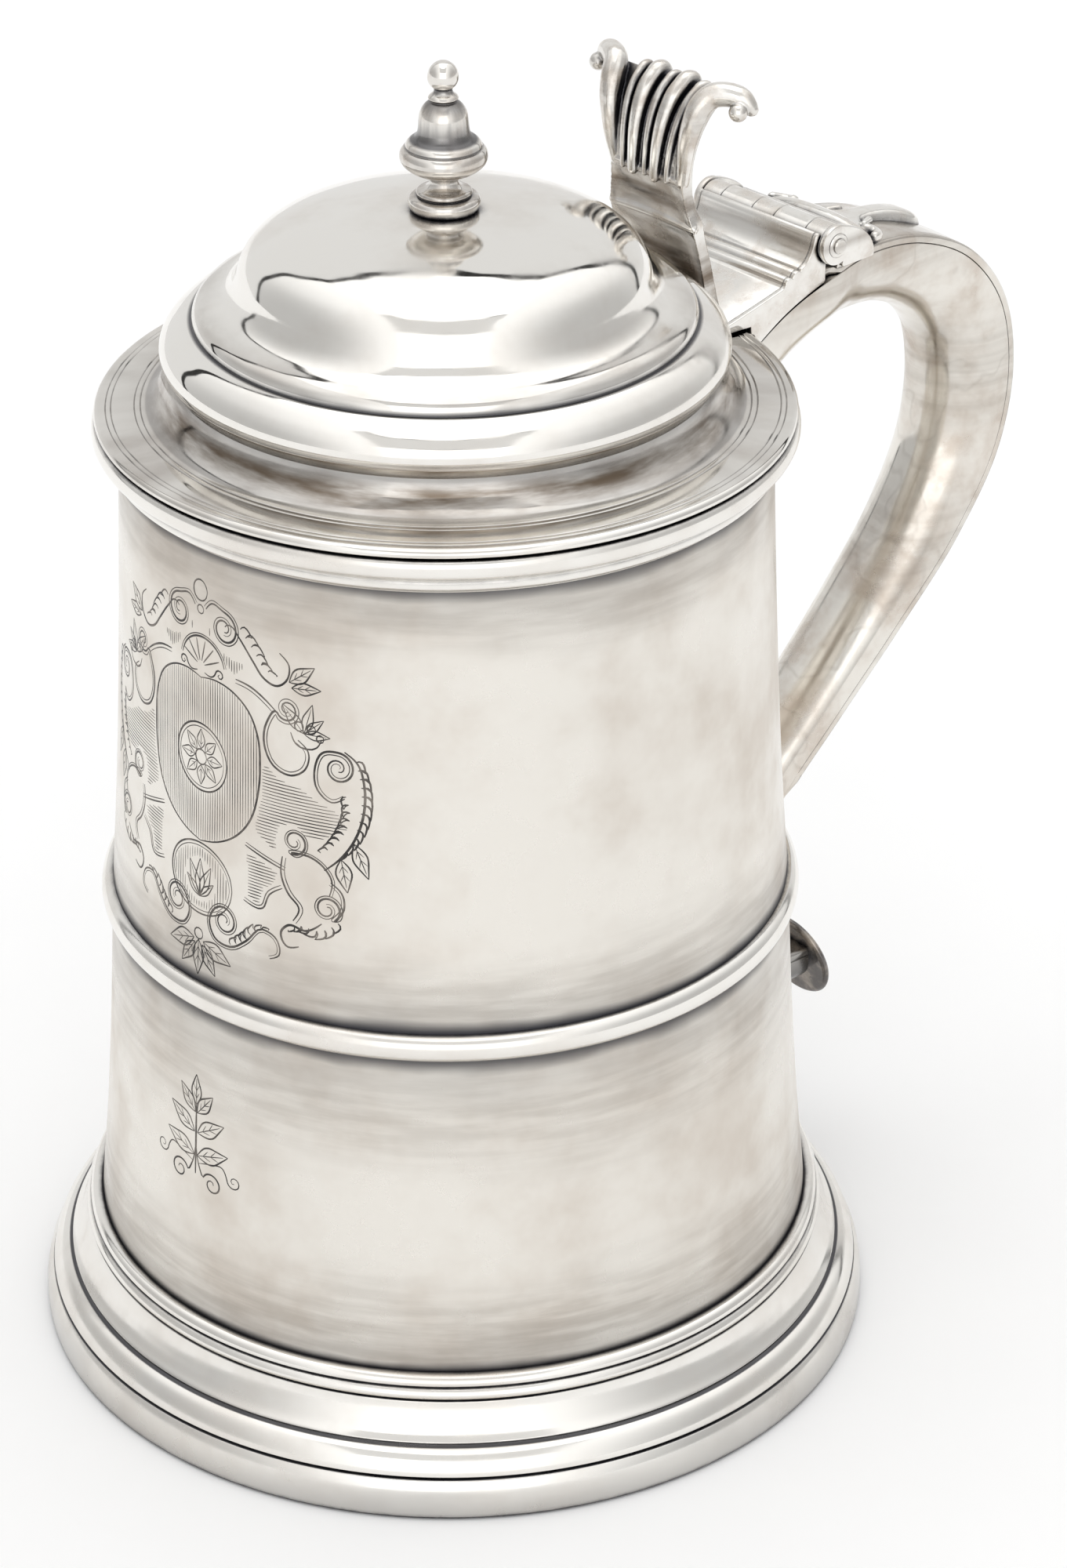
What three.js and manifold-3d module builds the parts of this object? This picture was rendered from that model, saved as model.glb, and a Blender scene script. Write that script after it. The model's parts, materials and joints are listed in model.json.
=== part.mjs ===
// Lidded silver tankard: tapered drum on a moulded foot, stepped domed lid with finial,
// five-knuckle hinge, reeded scroll thumbpiece and hollow D-section scroll handle.
// Millimetres, +Z up. The drum's axis is drawn at X = 0 with the handle towards +X, and
// the finished part is moved along X so that the origin is under the middle of its extent.
import * as THREE from 'three';
import { mergeVertices } from 'three/addons/utils/BufferGeometryUtils.js';
import Module from 'manifold-3d';

const wasm = await Module();
wasm.setup();

// ---------------------------------------------------------------- driving dimensions
const GAP = 0.3; // left between two pieces that are soldered face to face
const LATHE_SIDES = 40; // facets round the drum, foot and lid
const FINIAL_SIDES = 16;
const HINGE_SIDES = 20;
const MERGE_DISTANCE = 1e-4; // corners closer than this are one corner
const REACH_STEP = 0.0005; // share of a run tried at a time when looking for a place on it

const WALL = 1.2; // thickness of the drum's sheet
const RIM_Z = 154.1; // top of the mug
const FOOT_R = 66;
const HANDLE_REACH = 117; // furthest the handle's back gets from the drum's axis
const AXIS_X = -(HANDLE_REACH - FOOT_R) / 2; // where the drum's axis ends up

const LID_SHEET = 1.2;
const FLANGE_R = 51.9;
const FLANGE_UNDER_Z = RIM_Z + 0.4;
const LID_TOP_Z = 185.6;
const BEZEL_R = 46.2;
const BEZEL_DEPTH = 3;

const HINGE_X = 68;
const HINGE_Z = 165;
const BARREL_R = 3;
const PIN_R = 1.2;
const BORE_R = 1.25; // bore of the knuckles and cheeks, a running fit on the pin
const PIN_HEAD_R = 1.9;
const PIN_HEAD_H = 0.45;
const CHEEK = 1.1; // thickness of the plates that close the ends of the hinge
const HINGE_HALF = 14.2; // from the middle of the hinge to a cheek's outer face
const BARREL_CLEAR_R = BARREL_R + 0.35; // nothing else comes nearer to the hinge's axis
const KNUCKLE_GAP = 0.25;

const HANDLE_SHEET = 1.1;
const STRIP = 1.3; // thickness of the flat strip along the handle's back
const STRIP_CROWN = 0.4;
const SIDE = 2; // flat part of the trough's sides, next to the strip

// Drum, outside, from the bottom up: [radius, height].
const DRUM = [
  [57.0, 7.5],
  [56.3, 20],
  [54.9, 35],
  [53.5, 55],
  [52.4, 75],
  [50.9, 96],
  [49.0, 135],
  [48.5, 150],
  [48.5, RIM_Z - 0.1],
];

// Foot, outside, from the rest plane up: plinth, ovolo, cove and two reeds.
const FOOT = [
  [FOOT_R, 0],
  [65.9, 4],
  [65.2, 6],
  [64.9, 6.8],
  [64.2, 8.6],
  [63.1, 10],
  [61.7, 10.8],
  [60.6, 12.2],
  [59.6, 14.4],
  [58.8, 17],
  [59.0, 17.6],
  [58.3, 18.7],
  [58.3, 19.3],
  [57.5, 20.7],
];

// Foot, inside, from the top down.
const FOOT_INSIDE = [
  [56.75, 20.7],
  [57.3, 16.8],
  [58.4, 13],
  [60.0, 9.8],
  [62.9, 7.6],
  [63.7, 4],
  [63.8, 0],
];

// Lip moulding, outside, from the lower edge up.
const LIP = [
  [49.5, 148],
  [50.0, 149],
  [50.0, 150],
  [51.5, 151],
  [52.3, 152.4],
  [52.2, 153.6],
  [51.4, RIM_Z],
];

// Lid, outside, from the flange's edge up to the middle of the dome.
const LID = [
  [51.4, FLANGE_UNDER_Z],
  [FLANGE_R, 154.95],
  [51.5, 155.6],
  [50.2, 155.85],
  [44.6, 156.2],
  [42.2, 157.4],
  [40.6, 159.6],
  [40.2, 161.6],
  [41.3, 162.8],
  [41.9, 164.6],
  [41.2, 166.6],
  [39.8, 168],
  [37.7, 169.2],
  [36.9, 170.2],
  [35.4, 171.6],
  [32.6, 172.7],
  [31.2, 174],
  [30.2, 176.4],
  [29.3, 178.4],
  [27.9, 180.1],
  [25.0, 181.9],
  [18.0, 184],
  [9.0, 185.3],
  [0, LID_TOP_Z],
];

// Lid, inside, from the middle out to the flange.
const LID_INSIDE = [
  [0, LID_TOP_Z - LID_SHEET],
  [17.6, 182.8],
  [24.2, 180.6],
  [27.7, 177.4],
  [28.9, 174.2],
  [30.6, 171.9],
  [35.2, 169.5],
  [36.8, 168],
  [39.2, 166.6],
  [40.5, 164.9],
  [38.9, 161.6],
  [39.4, 159],
  [41.4, 156.2],
  [43.4, FLANGE_UNDER_Z],
];

// Finial, from its foot on the dome up to the top of the button.
const FINIAL_Z = LID_TOP_Z + GAP;
const FINIAL = [
  [0, FINIAL_Z],
  [4.9, FINIAL_Z],
  [5.3, 186.7],
  [4.7, 187.7],
  [3.8, 187.9],
  [4.0, 188.5],
  [2.3, 189.3],
  [2.1, 190.4],
  [3.0, 191.0],
  [5.2, 191.9],
  [6.4, 193.7],
  [5.9, 195.1],
  [5.2, 195.5],
  [5.0, 196.4],
  [3.9, 197.2],
  [3.6, 199.4],
  [2.8, 201.3],
  [1.9, 202.1],
  [2.2, 202.7],
  [1.4, 203.3],
  [1.4, 203.8],
  [2.2, 205.2],
  [1.9, 206.9],
  [0, 207.9],
];

// The handle follows the seam between its trough and its strip. Each station is
// [x, z, half width, depth of the trough].
const HANDLE = [
  [39.0, 143.4, 12.4, 14.0],
  [50.8, 151.2, 12.6, 13.6],
  [59.8, 156.3, 12.9, 13.0],
  [69.5, 159.3, 13.0, 12.4],
  [80.0, 159.2, 10.4, 12.0],
  [92.0, 157.2, 9.3, 11.7],
  [104.2, 151.2, 9.1, 11.7],
  [112.6, 141.0, 9.0, 11.7],
  [115.3, 128.0, 8.9, 11.4],
  [113.1, 115.3, 8.6, 10.6],
  [105.1, 102.2, 8.1, 8.9],
  [92.1, 88.9, 7.6, 7.1],
  [78.5, 76.4, 7.2, 6.2],
  [66.4, 64.9, 6.9, 6.0],
  [60.0, 54.5, 6.4, 5.8],
  [60.3, 44.8, 5.9, 5.6],
  [64.0, 36.6, 5.5, 5.5],
  [69.8, 31.9, 5.1, 5.4],
  [75.9, 31.0, 4.8, 5.4],
];
const HANDLE_STEPS = 38;

// Disc that closes the handle's lower end, facing out and a little up: [radius, height].
const TERMINAL = [
  [0, 0],
  [7.9, 0],
  [7.9, 1],
  [6.3, 1.7],
  [0, 2.2],
];
const TERMINAL_TILT = THREE.MathUtils.degToRad(15);
const TERMINAL_AT = [77.4, 0, 28.5];

// Drop on the handle's shoulder: [share of its length, half width, height].
const DROP = [
  [0, 9.2, 1.2],
  [0.2, 8.0, 1.6],
  [0.36, 4.2, 1.4],
  [0.46, 2.2, 0.9],
  [0.72, 3.3, 1.6],
  [0.9, 3.0, 1.4],
  [1, 1.2, 0.6],
];
const DROP_FROM_X = 77.2;
const DROP_TO_X = 99.4;
const DROP_STEPS = 12;
const DROP_SECTION = [[-1, 0], [1, 0], [0.75, 0.6], [0, 1], [-0.75, 0.6]]; // shares of its size

// Thumbpiece, from its foot up: [x, z, half width, thickness].
const THUMB = [
  [46.2, 158.7, 9.4, 2.4],
  [44.8, 165, 9.4, 2.2],
  [43.0, 172, 9.2, 2.4],
  [41.9, 178.4, 8.0, 2.2],
  [41.6, 183, 8.2, 2.6],
  [42.6, 188, 9.4, 2.6],
  [44.8, 191.2, 10.4, 2.4],
  [47.6, 192.7, 10.8, 1.8],
];
const THUMB_STEPS = 12;
const THUMB_ARM_R = 1.5;
const THUMB_ARM_STEPS = 10;
const THUMB_ARM_SEGMENTS = 4; // to each span of the arm's round section
const THUMB_ARM = [
  [41.3, 7.0, 180.3],
  [41.0, 8.2, 187],
  [42.5, 9.3, 192.7],
  [44.0, 10.4, 194.2],
  [45.4, 12.6, 194.6],
  [46.3, 14.4, 194.2],
];
const THUMB_BALL_AT = [44.9, 14.9, 192.6];
const THUMB_BALL_R = 1.5;
const THUMB_BALL_SIDES = 12;
const THUMB_BALL_RINGS = 8;

// Lid's half of the hinge, seen from the side and run from end to end of the hinge.
const LID_PLATE = [
  [45.2, 156.55],
  [52.5, 156.55],
  [52.5, 155.2],
  [64.6, 160.95],
  [67.0, 162.2],
  [66.0, 167.2],
  [64.4, 166.6],
  [63.4, 163.4],
  [61.8, 162],
  [58.4, 161.4],
  [58.0, 160.4],
  [45.2, 157.5],
];

// Handle's half of the hinge, seen from the side.
const HINGE_BLOCK = [
  [70.0, 162.0],
  [76.6, 162.0],
  [75.8, 163.4],
  [74.0, 164.6],
  [71.0, 165.4],
  [69.0, 164.0],
];

// Cheek, seen from the side: an arc round the hinge in degrees, then the corners of its tail.
const CHEEK_R = BARREL_R + 0.2;
const CHEEK_ARC_FROM = 15;
const CHEEK_ARC_TO = 255;
const CHEEK_ARC_STEP = 20;
const CHEEK_TAIL = [
  [69.6, 161.6],
  [76.2, 161.4],
  [73.9, 165.4],
];

// ---------------------------------------------------------------- geometry helpers
const vec = (x, y, z) => new THREE.Vector3(x, y, z);

function signedVolume(position, index) {
  const [a, b, c] = [vec(), vec(), vec()];
  let sum = 0;
  for (let i = 0; i < index.length; i += 3) {
    a.fromBufferAttribute(position, index[i]);
    b.fromBufferAttribute(position, index[i + 1]);
    c.fromBufferAttribute(position, index[i + 2]);
    sum += a.dot(b.cross(c)) / 6;
  }
  return sum;
}

// One closed body from a geometry: shared corners, no slivers on the axis, faces out.
function closed(geometry) {
  geometry.deleteAttribute('normal');
  geometry.deleteAttribute('uv');
  const merged = mergeVertices(geometry, MERGE_DISTANCE);
  const old = merged.index.array;
  let index = [];
  for (let i = 0; i < old.length; i += 3) {
    const [a, b, c] = [old[i], old[i + 1], old[i + 2]];
    if (a !== b && b !== c && c !== a) {
      index.push(a, b, c);
    }
  }
  if (signedVolume(merged.attributes.position, index) < 0) {
    index = index.reverse();
  }
  merged.setIndex(index);
  return merged;
}

function toManifold(geometry) {
  const body = closed(geometry.clone());
  return new wasm.Manifold(
    new wasm.Mesh({
      numProp: 3,
      vertProperties: new Float32Array(body.attributes.position.array),
      triVerts: new Uint32Array(body.index.array),
    }),
  );
}

function fromManifold(solid) {
  const mesh = solid.getMesh();
  const geometry = new THREE.BufferGeometry();
  geometry.setAttribute('position', new THREE.BufferAttribute(mesh.vertProperties, 3));
  geometry.setIndex(Array.from(mesh.triVerts));
  return geometry;
}

const cut = (geometry, tool) => fromManifold(toManifold(geometry).subtract(toManifold(tool)));
const join = (first, second) => fromManifold(toManifold(first).add(toManifold(second)));

// Turned piece on the Z axis from [radius, height] points.
function turned(profile, sides = LATHE_SIDES) {
  const points = profile.map(([r, z]) => new THREE.Vector2(r, z));
  return closed(new THREE.LatheGeometry(points, sides).rotateX(Math.PI / 2));
}

// Turned ring: the profile closes on itself.
const ring = (profile, sides) => turned([...profile, profile[0]], sides);

// Piece with one [x, z] outline all along Y.
function slab(outline, y0, y1) {
  const shape = new THREE.Shape(outline.map(([x, z]) => new THREE.Vector2(x, z)));
  const geometry = new THREE.ExtrudeGeometry(shape, { depth: y1 - y0, bevelEnabled: false });
  return closed(geometry.rotateX(Math.PI / 2).translate(0, y1, 0));
}

// Round bar or tube along Y about the hinge's axis.
function hingeTube(radius, bore, y0, y1) {
  const profile = [[bore, y0], [radius, y0], [radius, y1], [bore, y1]];
  if (bore > 0) {
    profile.push(profile[0]);
  }
  const points = profile.map(([r, y]) => new THREE.Vector2(r, y));
  return closed(new THREE.LatheGeometry(points, HINGE_SIDES).translate(HINGE_X, 0, HINGE_Z));
}

// Smooth run through stations of [x, z, half width, depth].
class Run {
  constructor(stations) {
    this.line = new THREE.CatmullRomCurve3(stations.map(([x, z]) => vec(x, 0, z)));
    this.size = new THREE.CatmullRomCurve3(stations.map(([, , w, d]) => vec(w, d, 0)));
  }

  at(t) {
    const along = this.line.getTangent(t);
    const { x: halfWidth, y: depth } = this.size.getPoint(t);
    return { point: this.line.getPoint(t), out: vec(-along.z, 0, along.x), halfWidth, depth };
  }

  // Share of the run at which it first reaches an x.
  reach(x) {
    let t = 0;
    while (t < 1 && this.line.getPoint(t).x < x) {
      t += REACH_STEP;
    }
    return t;
  }

  // A flat outline pushed along the run: place() turns outline coordinates into the
  // distance across (along Y) and out from the run's line.
  sweep(outline, steps, place, from = 0, to = 1) {
    const shape = new THREE.Shape(outline.map(([a, b]) => new THREE.Vector2(a, b)));
    const options = { depth: 1, steps, bevelEnabled: false };
    const geometry = new THREE.ExtrudeGeometry(shape, options);
    const position = geometry.attributes.position;
    for (let i = 0; i < position.count; i += 1) {
      const share = position.getZ(i);
      const here = this.at(from + (to - from) * share);
      const [across, out] = place(position.getX(i), position.getY(i), here, share);
      const p = here.point.clone().addScaledVector(here.out, out);
      position.setXYZ(i, p.x, across, p.z);
    }
    return closed(geometry);
  }
}

// Value between the rows of a table whose first column rises.
function between(table, x, column) {
  const i = Math.max(1, table.findIndex((row) => row[0] >= x));
  const [low, high] = [table[i - 1], table[i]];
  return THREE.MathUtils.mapLinear(x, low[0], high[0], low[column], high[column]);
}

// ---------------------------------------------------------------- pieces
const satin = { color: 0xcbc6bd, roughness: 0.34, metalness: 1 };
const bright = { color: 0xd9d6d0, roughness: 0.16, metalness: 1 };
const dark = { color: 0xa39c92, roughness: 0.3, metalness: 1 };
const part = new THREE.Group();

function add(name, geometry, look) {
  const mesh = new THREE.Mesh(geometry, new THREE.MeshStandardMaterial(look));
  mesh.name = name;
  geometry.translate(AXIS_X, 0, 0);
  geometry.computeVertexNormals();
  part.add(mesh);
}

function inward(profile, distance) {
  return profile.map(([r, z]) => [r - distance, z]).reverse();
}

function drumRadius(z) {
  return between(DRUM.map(([r, height]) => [height, r]), z, 1);
}

// Drum, floor and mouldings.
add('body_wall', ring([...DRUM, ...inward(DRUM, WALL)]), satin);

const FLOOR_Z = 9;
const FLOOR_RISE = 2.5;
const FLOOR_BEND_R = 0.6; // where the floor's slope eases, as a share of its radius
const FLOOR_BEND_RISE = 0.64; // and how much of the rise it has there
const floorR = drumRadius(FLOOR_Z) - WALL - GAP;
add(
  'body_floor',
  turned([
    [0, FLOOR_Z + FLOOR_RISE],
    [floorR * FLOOR_BEND_R, FLOOR_Z + FLOOR_RISE * FLOOR_BEND_RISE],
    [floorR, FLOOR_Z],
    [floorR, FLOOR_Z + WALL],
    [floorR * FLOOR_BEND_R, FLOOR_Z + WALL + FLOOR_RISE * FLOOR_BEND_RISE],
    [0, FLOOR_Z + WALL + FLOOR_RISE],
  ]),
  satin,
);

add('foot_moulding', ring([...FOOT, ...FOOT_INSIDE]), bright);

const BAND_Z = 75.6;
const BAND_HALF = 2;
const BAND_PROUD = 1.1;
const BAND_STEPS = 6; // facets of its half-round face
const bandProfile = [];
for (let i = 0; i <= BAND_STEPS; i += 1) {
  const angle = Math.PI * (i / BAND_STEPS - 0.5);
  const z = BAND_Z + BAND_HALF * Math.sin(angle);
  bandProfile.push([drumRadius(z) + 2 * GAP + BAND_PROUD * Math.cos(angle), z]);
}
const bandInside = [BAND_HALF, -BAND_HALF].map((dz) => [
  drumRadius(BAND_Z + dz) + GAP,
  BAND_Z + dz,
]);
add('mid_band', ring([...bandProfile, ...bandInside]), bright);

const lipInside = drumRadius(RIM_Z - 1) + GAP;
add('lip_moulding', ring([...LIP, [lipInside, RIM_Z], [lipInside, LIP[0][1]]]), bright);

// Handle: a U-shaped trough and the strip that closes its back.
const handle = new Run(HANDLE);
const TROUGH_SIDES = 10;
const SIDE_SHARE = 0.1; // share of the trough's girth that is its flat side
const RING_INSIDE = 0.8; // inner radius of the half ring that the trough's outline is drawn as

// The outline is drawn as half a ring of radius 1. The share of the way round it becomes
// the place on the trough's girth, and the radius becomes the depth into its sheet.
function trough(a, b, { halfWidth, depth }) {
  const girth = Math.atan2(-b, -a) / Math.PI;
  const thin = (HANDLE_SHEET * (1 - Math.hypot(a, b))) / (1 - RING_INSIDE);
  const onSide = Math.min(girth, 1 - girth) / SIDE_SHARE;
  if (onSide <= 1) {
    return [Math.sign(girth - 0.5) * (halfWidth - thin), -SIDE * onSide];
  }
  const angle = (Math.PI * (girth - SIDE_SHARE)) / (1 - 2 * SIDE_SHARE);
  return [
    -(halfWidth - thin) * Math.cos(angle),
    -SIDE - (depth - SIDE - thin) * Math.sin(angle),
  ];
}

const girths = [0];
for (let i = 0; i <= TROUGH_SIDES; i += 1) {
  girths.push(SIDE_SHARE + ((1 - 2 * SIDE_SHARE) * i) / TROUGH_SIDES);
}
girths.push(1);
const onRing = (radius) => (g) => [
  -radius * Math.cos(Math.PI * g),
  -radius * Math.sin(Math.PI * g),
];
const troughOutline = [...girths.map(onRing(1)), ...girths.map(onRing(RING_INSIDE)).reverse()];

// Room that the drum and its lip take up, which the handle's upper end is fitted to.
const ROOM_FROM_Z = 120;
const ROOM_TO_Z = 158;
const [lipLowR, lipLowZ] = LIP[0];
const LIP_MAX_R = 52.3;
const LIP_WIDENED_Z = 151.6; // by here the lip counts as being at its full radius
const drumRoom = turned([
  [0, ROOM_FROM_Z],
  [drumRadius(ROOM_FROM_Z) + GAP, ROOM_FROM_Z],
  [drumRadius(lipLowZ) + GAP, lipLowZ - GAP],
  [lipLowR + GAP, lipLowZ - GAP],
  [LIP_MAX_R + GAP, LIP_WIDENED_Z],
  [LIP_MAX_R + GAP, ROOM_TO_Z],
  [0, ROOM_TO_Z],
]);
const troughBody = handle.sweep(troughOutline, HANDLE_STEPS, trough);
add('handle_trough', cut(troughBody, drumRoom), satin);

const STRIP_SECTION = [[-1, 0], [1, 0], [1, 1], [0, 1], [-1, 1]]; // shares of its size
const stripBody = handle.sweep(STRIP_SECTION, HANDLE_STEPS, (a, b, { halfWidth }) => [
  a * halfWidth,
  GAP + b * (STRIP + STRIP_CROWN * (1 - a * a)),
]);
add('handle_back_strip', cut(stripBody, drumRoom), satin);

const terminalDisc = turned(TERMINAL, HINGE_SIDES);
terminalDisc.rotateY(Math.PI / 2 - TERMINAL_TILT).translate(...TERMINAL_AT);
add('handle_terminal', terminalDisc, dark);

// Handle's half of the hinge.
const barrelRoom = hingeTube(BARREL_CLEAR_R, 0, -2 * HINGE_HALF, 2 * HINGE_HALF);
const blockHalf = HINGE_HALF - CHEEK - KNUCKLE_GAP;
add('hinge_block', cut(slab(HINGE_BLOCK, -blockHalf, blockHalf), barrelRoom), bright);

const dropSpan = [handle.reach(DROP_FROM_X), handle.reach(DROP_TO_X)];
const drop = handle.sweep(
  DROP_SECTION,
  DROP_STEPS,
  (a, b, here, share) => [
    a * between(DROP, share, 1),
    2 * GAP + STRIP + STRIP_CROWN + b * between(DROP, share, 2),
  ],
  ...dropSpan,
);
add('hinge_drop', drop, dark);

// Cheeks: round the barrel's end, running down to the handle behind it.
function cheekOutline() {
  const outline = [];
  for (let degrees = CHEEK_ARC_FROM; degrees <= CHEEK_ARC_TO; degrees += CHEEK_ARC_STEP) {
    const angle = THREE.MathUtils.degToRad(degrees);
    outline.push([HINGE_X + CHEEK_R * Math.cos(angle), HINGE_Z + CHEEK_R * Math.sin(angle)]);
  }
  return [...outline, ...CHEEK_TAIL];
}
const pinRoom = hingeTube(BORE_R, 0, -2 * HINGE_HALF, 2 * HINGE_HALF);
const cheekInner = HINGE_HALF - CHEEK;
const cheeks = { near: [-HINGE_HALF, -cheekInner], far: [cheekInner, HINGE_HALF] };
for (const [side, [y0, y1]] of Object.entries(cheeks)) {
  add(`hinge_cheek_${side}`, cut(slab(cheekOutline(), y0, y1), pinRoom), bright);
}

const pin = [
  [0, -HINGE_HALF - PIN_HEAD_H - KNUCKLE_GAP],
  [PIN_HEAD_R, -HINGE_HALF - PIN_HEAD_H - KNUCKLE_GAP],
  [PIN_HEAD_R, -HINGE_HALF - KNUCKLE_GAP],
  [PIN_R, -HINGE_HALF - KNUCKLE_GAP],
  [PIN_R, HINGE_HALF + KNUCKLE_GAP],
  [PIN_HEAD_R, HINGE_HALF + KNUCKLE_GAP],
  [PIN_HEAD_R, HINGE_HALF + PIN_HEAD_H + KNUCKLE_GAP],
  [0, HINGE_HALF + PIN_HEAD_H + KNUCKLE_GAP],
].map(([r, y]) => new THREE.Vector2(r, y));
const pinBody = new THREE.LatheGeometry(pin, HINGE_SIDES).translate(HINGE_X, 0, HINGE_Z);
add('hinge_pin', closed(pinBody), bright);

// Knuckles from the far end to the near end; the lid's and the handle's take turns.
const KNUCKLES = [
  ['lid_knuckle_far', -13.1, -9.3],
  ['handle_knuckle_far', -9.3, -2.5],
  ['lid_knuckle_middle', -2.5, 2.2],
  ['handle_knuckle_near', 2.2, 9.1],
  ['lid_knuckle_near', 9.1, 13.1],
];
for (const [name, start, end] of KNUCKLES) {
  const half = KNUCKLE_GAP / 2;
  add(name, hingeTube(BARREL_R, BORE_R, -end + half, -start - half), bright);
}

// Lid.
add('lid_cover', turned([...LID_INSIDE, ...LID]), bright);
const bezelTop = FLANGE_UNDER_Z - GAP;
add(
  'lid_bezel',
  ring([
    [BEZEL_R, bezelTop],
    [BEZEL_R - WALL, bezelTop],
    [BEZEL_R - WALL, bezelTop - BEZEL_DEPTH],
    [BEZEL_R - WALL / 2, bezelTop - BEZEL_DEPTH],
  ]),
  bright,
);
add('finial', turned(FINIAL, FINIAL_SIDES), dark);
const plateHalf = HINGE_HALF - CHEEK - KNUCKLE_GAP;
add('lid_hinge_plate', cut(slab(LID_PLATE, -plateHalf, plateHalf), barrelRoom), bright);

// Thumbpiece: a shaped plate that fans out, between two arms that end in balls.
const thumb = new Run(THUMB);
const REEDS = 4;
const REED_DEPTH = 0.25; // how far the fan's grooves go in, as a share of its thickness
const fanOutline = [];
for (let i = 0; i <= 4 * REEDS; i += 1) {
  fanOutline.push([1 - i / (2 * REEDS), i % 4 === 2 ? 1 - REED_DEPTH : 1]);
}
fanOutline.push([-1, 0], [1, 0]);
const FAN_FROM = 0.5; // share of the height at which the reeds begin
const FAN_BLEND = 0.1; // share of the height over which they deepen

// The plate is centred on its run; its back is flat and its front is reeded.
function thumbPlate(a, b, { halfWidth, depth }, share) {
  const reeded = THREE.MathUtils.smoothstep(share, FAN_FROM, FAN_FROM + FAN_BLEND);
  const front = depth * (0.5 - (1 - b) * reeded);
  return [a * halfWidth, b > 0 ? front : -depth / 2];
}

let thumbBody = thumb.sweep(fanOutline, THUMB_STEPS, thumbPlate);
for (const side of [-1, 1]) {
  const path = new THREE.CatmullRomCurve3(THUMB_ARM.map(([x, y, z]) => vec(x, side * y, z)));
  const section = new THREE.Shape().absarc(0, 0, THUMB_ARM_R, 0, 2 * Math.PI);
  const arm = new THREE.ExtrudeGeometry(section, {
    steps: THUMB_ARM_STEPS,
    curveSegments: THUMB_ARM_SEGMENTS,
    extrudePath: path,
    bevelEnabled: false,
  });
  const [x, y, z] = THUMB_BALL_AT;
  const ball = new THREE.SphereGeometry(THUMB_BALL_R, THUMB_BALL_SIDES, THUMB_BALL_RINGS);
  thumbBody = join(join(thumbBody, arm), ball.translate(x, side * y, z));
}
add('thumbpiece', thumbBody, dark);

export default part;
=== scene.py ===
"""Looks of the lidded silver tankard: fine meshes, silver in its several finishes, engraving, studio.

Shapes are drawn in millimetres from the drum's axis, with the foot's rest plane at z = 0, and are
moved into the row frame, in metres, as each piece is made.
"""
import json
import math

import bmesh
import bpy
import numpy as np
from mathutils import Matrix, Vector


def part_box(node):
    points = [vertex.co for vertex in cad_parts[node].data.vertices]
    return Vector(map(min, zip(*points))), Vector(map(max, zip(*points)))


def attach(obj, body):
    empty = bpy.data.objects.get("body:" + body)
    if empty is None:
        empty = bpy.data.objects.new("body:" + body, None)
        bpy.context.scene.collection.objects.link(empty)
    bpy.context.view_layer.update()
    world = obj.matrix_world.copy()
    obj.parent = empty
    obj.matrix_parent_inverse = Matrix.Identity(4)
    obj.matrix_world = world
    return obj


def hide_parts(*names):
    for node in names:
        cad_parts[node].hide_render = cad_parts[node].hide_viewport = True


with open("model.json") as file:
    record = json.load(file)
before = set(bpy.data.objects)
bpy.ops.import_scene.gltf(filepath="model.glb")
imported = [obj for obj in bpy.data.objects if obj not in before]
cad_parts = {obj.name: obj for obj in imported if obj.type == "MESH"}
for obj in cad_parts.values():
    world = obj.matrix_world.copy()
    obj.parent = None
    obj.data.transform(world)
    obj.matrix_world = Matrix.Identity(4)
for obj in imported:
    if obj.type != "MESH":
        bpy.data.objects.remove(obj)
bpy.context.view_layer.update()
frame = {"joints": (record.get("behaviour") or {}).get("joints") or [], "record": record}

MM = 0.001
SIDES = 224  # round the drum, foot and lid
FINE_SIDES = 72  # round the finial and the hinge


def box_mm(node):
    low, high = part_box(node)
    return np.array(low) / MM, np.array(high) / MM


drum_low, drum_high = box_mm("body_wall")
AXIS_X = (drum_low[0] + drum_high[0]) / 2
HINGE = np.array(frame["joints"][0]["pos_m"]) / MM - [AXIS_X, 0, 0]
BODY_OF = {n: body for body, nodes in frame["record"]["behaviour"]["bodies"].items() for n in nodes}


# ------------------------------------------------------------------ lines and outlines
def smooth_line(points, detail):
    """Smooth line through the points, in any number of dimensions, detail steps to a span."""
    p = np.array(points, float)
    if len(p) < 3:
        return p
    chord = np.linalg.norm(np.diff(p, axis=0), axis=1)[:, None]
    slope = np.diff(p, axis=0) / chord
    inner = (slope[:-1] * chord[1:] + slope[1:] * chord[:-1]) / (chord[:-1] + chord[1:])
    first = 1.5 * slope[:1] - 0.5 * inner[:1]
    last = 1.5 * slope[-1:] - 0.5 * inner[-1:]
    tangent = np.vstack([first, inner, last])
    t = np.linspace(0, 1, detail, endpoint=False)[:, None]
    spans = [
        (2 * t**3 - 3 * t**2 + 1) * p[i]
        + (t**3 - 2 * t**2 + t) * tangent[i] * chord[i]
        + (3 * t**2 - 2 * t**3) * p[i + 1]
        + (t**3 - t**2) * tangent[i + 1] * chord[i]
        for i in range(len(p) - 1)
    ]
    return np.vstack([*spans, p[-1:]])


def run_lengths(line):
    return np.concatenate([[0], np.cumsum(np.linalg.norm(np.diff(line, axis=0), axis=1))])


def places_on(line, run, lengths):
    """Place, or places, at a length along the line; run is its run lengths."""
    return np.array([np.interp(lengths, run, column) for column in line.T]).T


def headings(line):
    """Unit direction of the line at each of its points."""
    ahead = np.gradient(line, axis=0)
    return ahead / np.linalg.norm(ahead, axis=1)[:, None]


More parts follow.
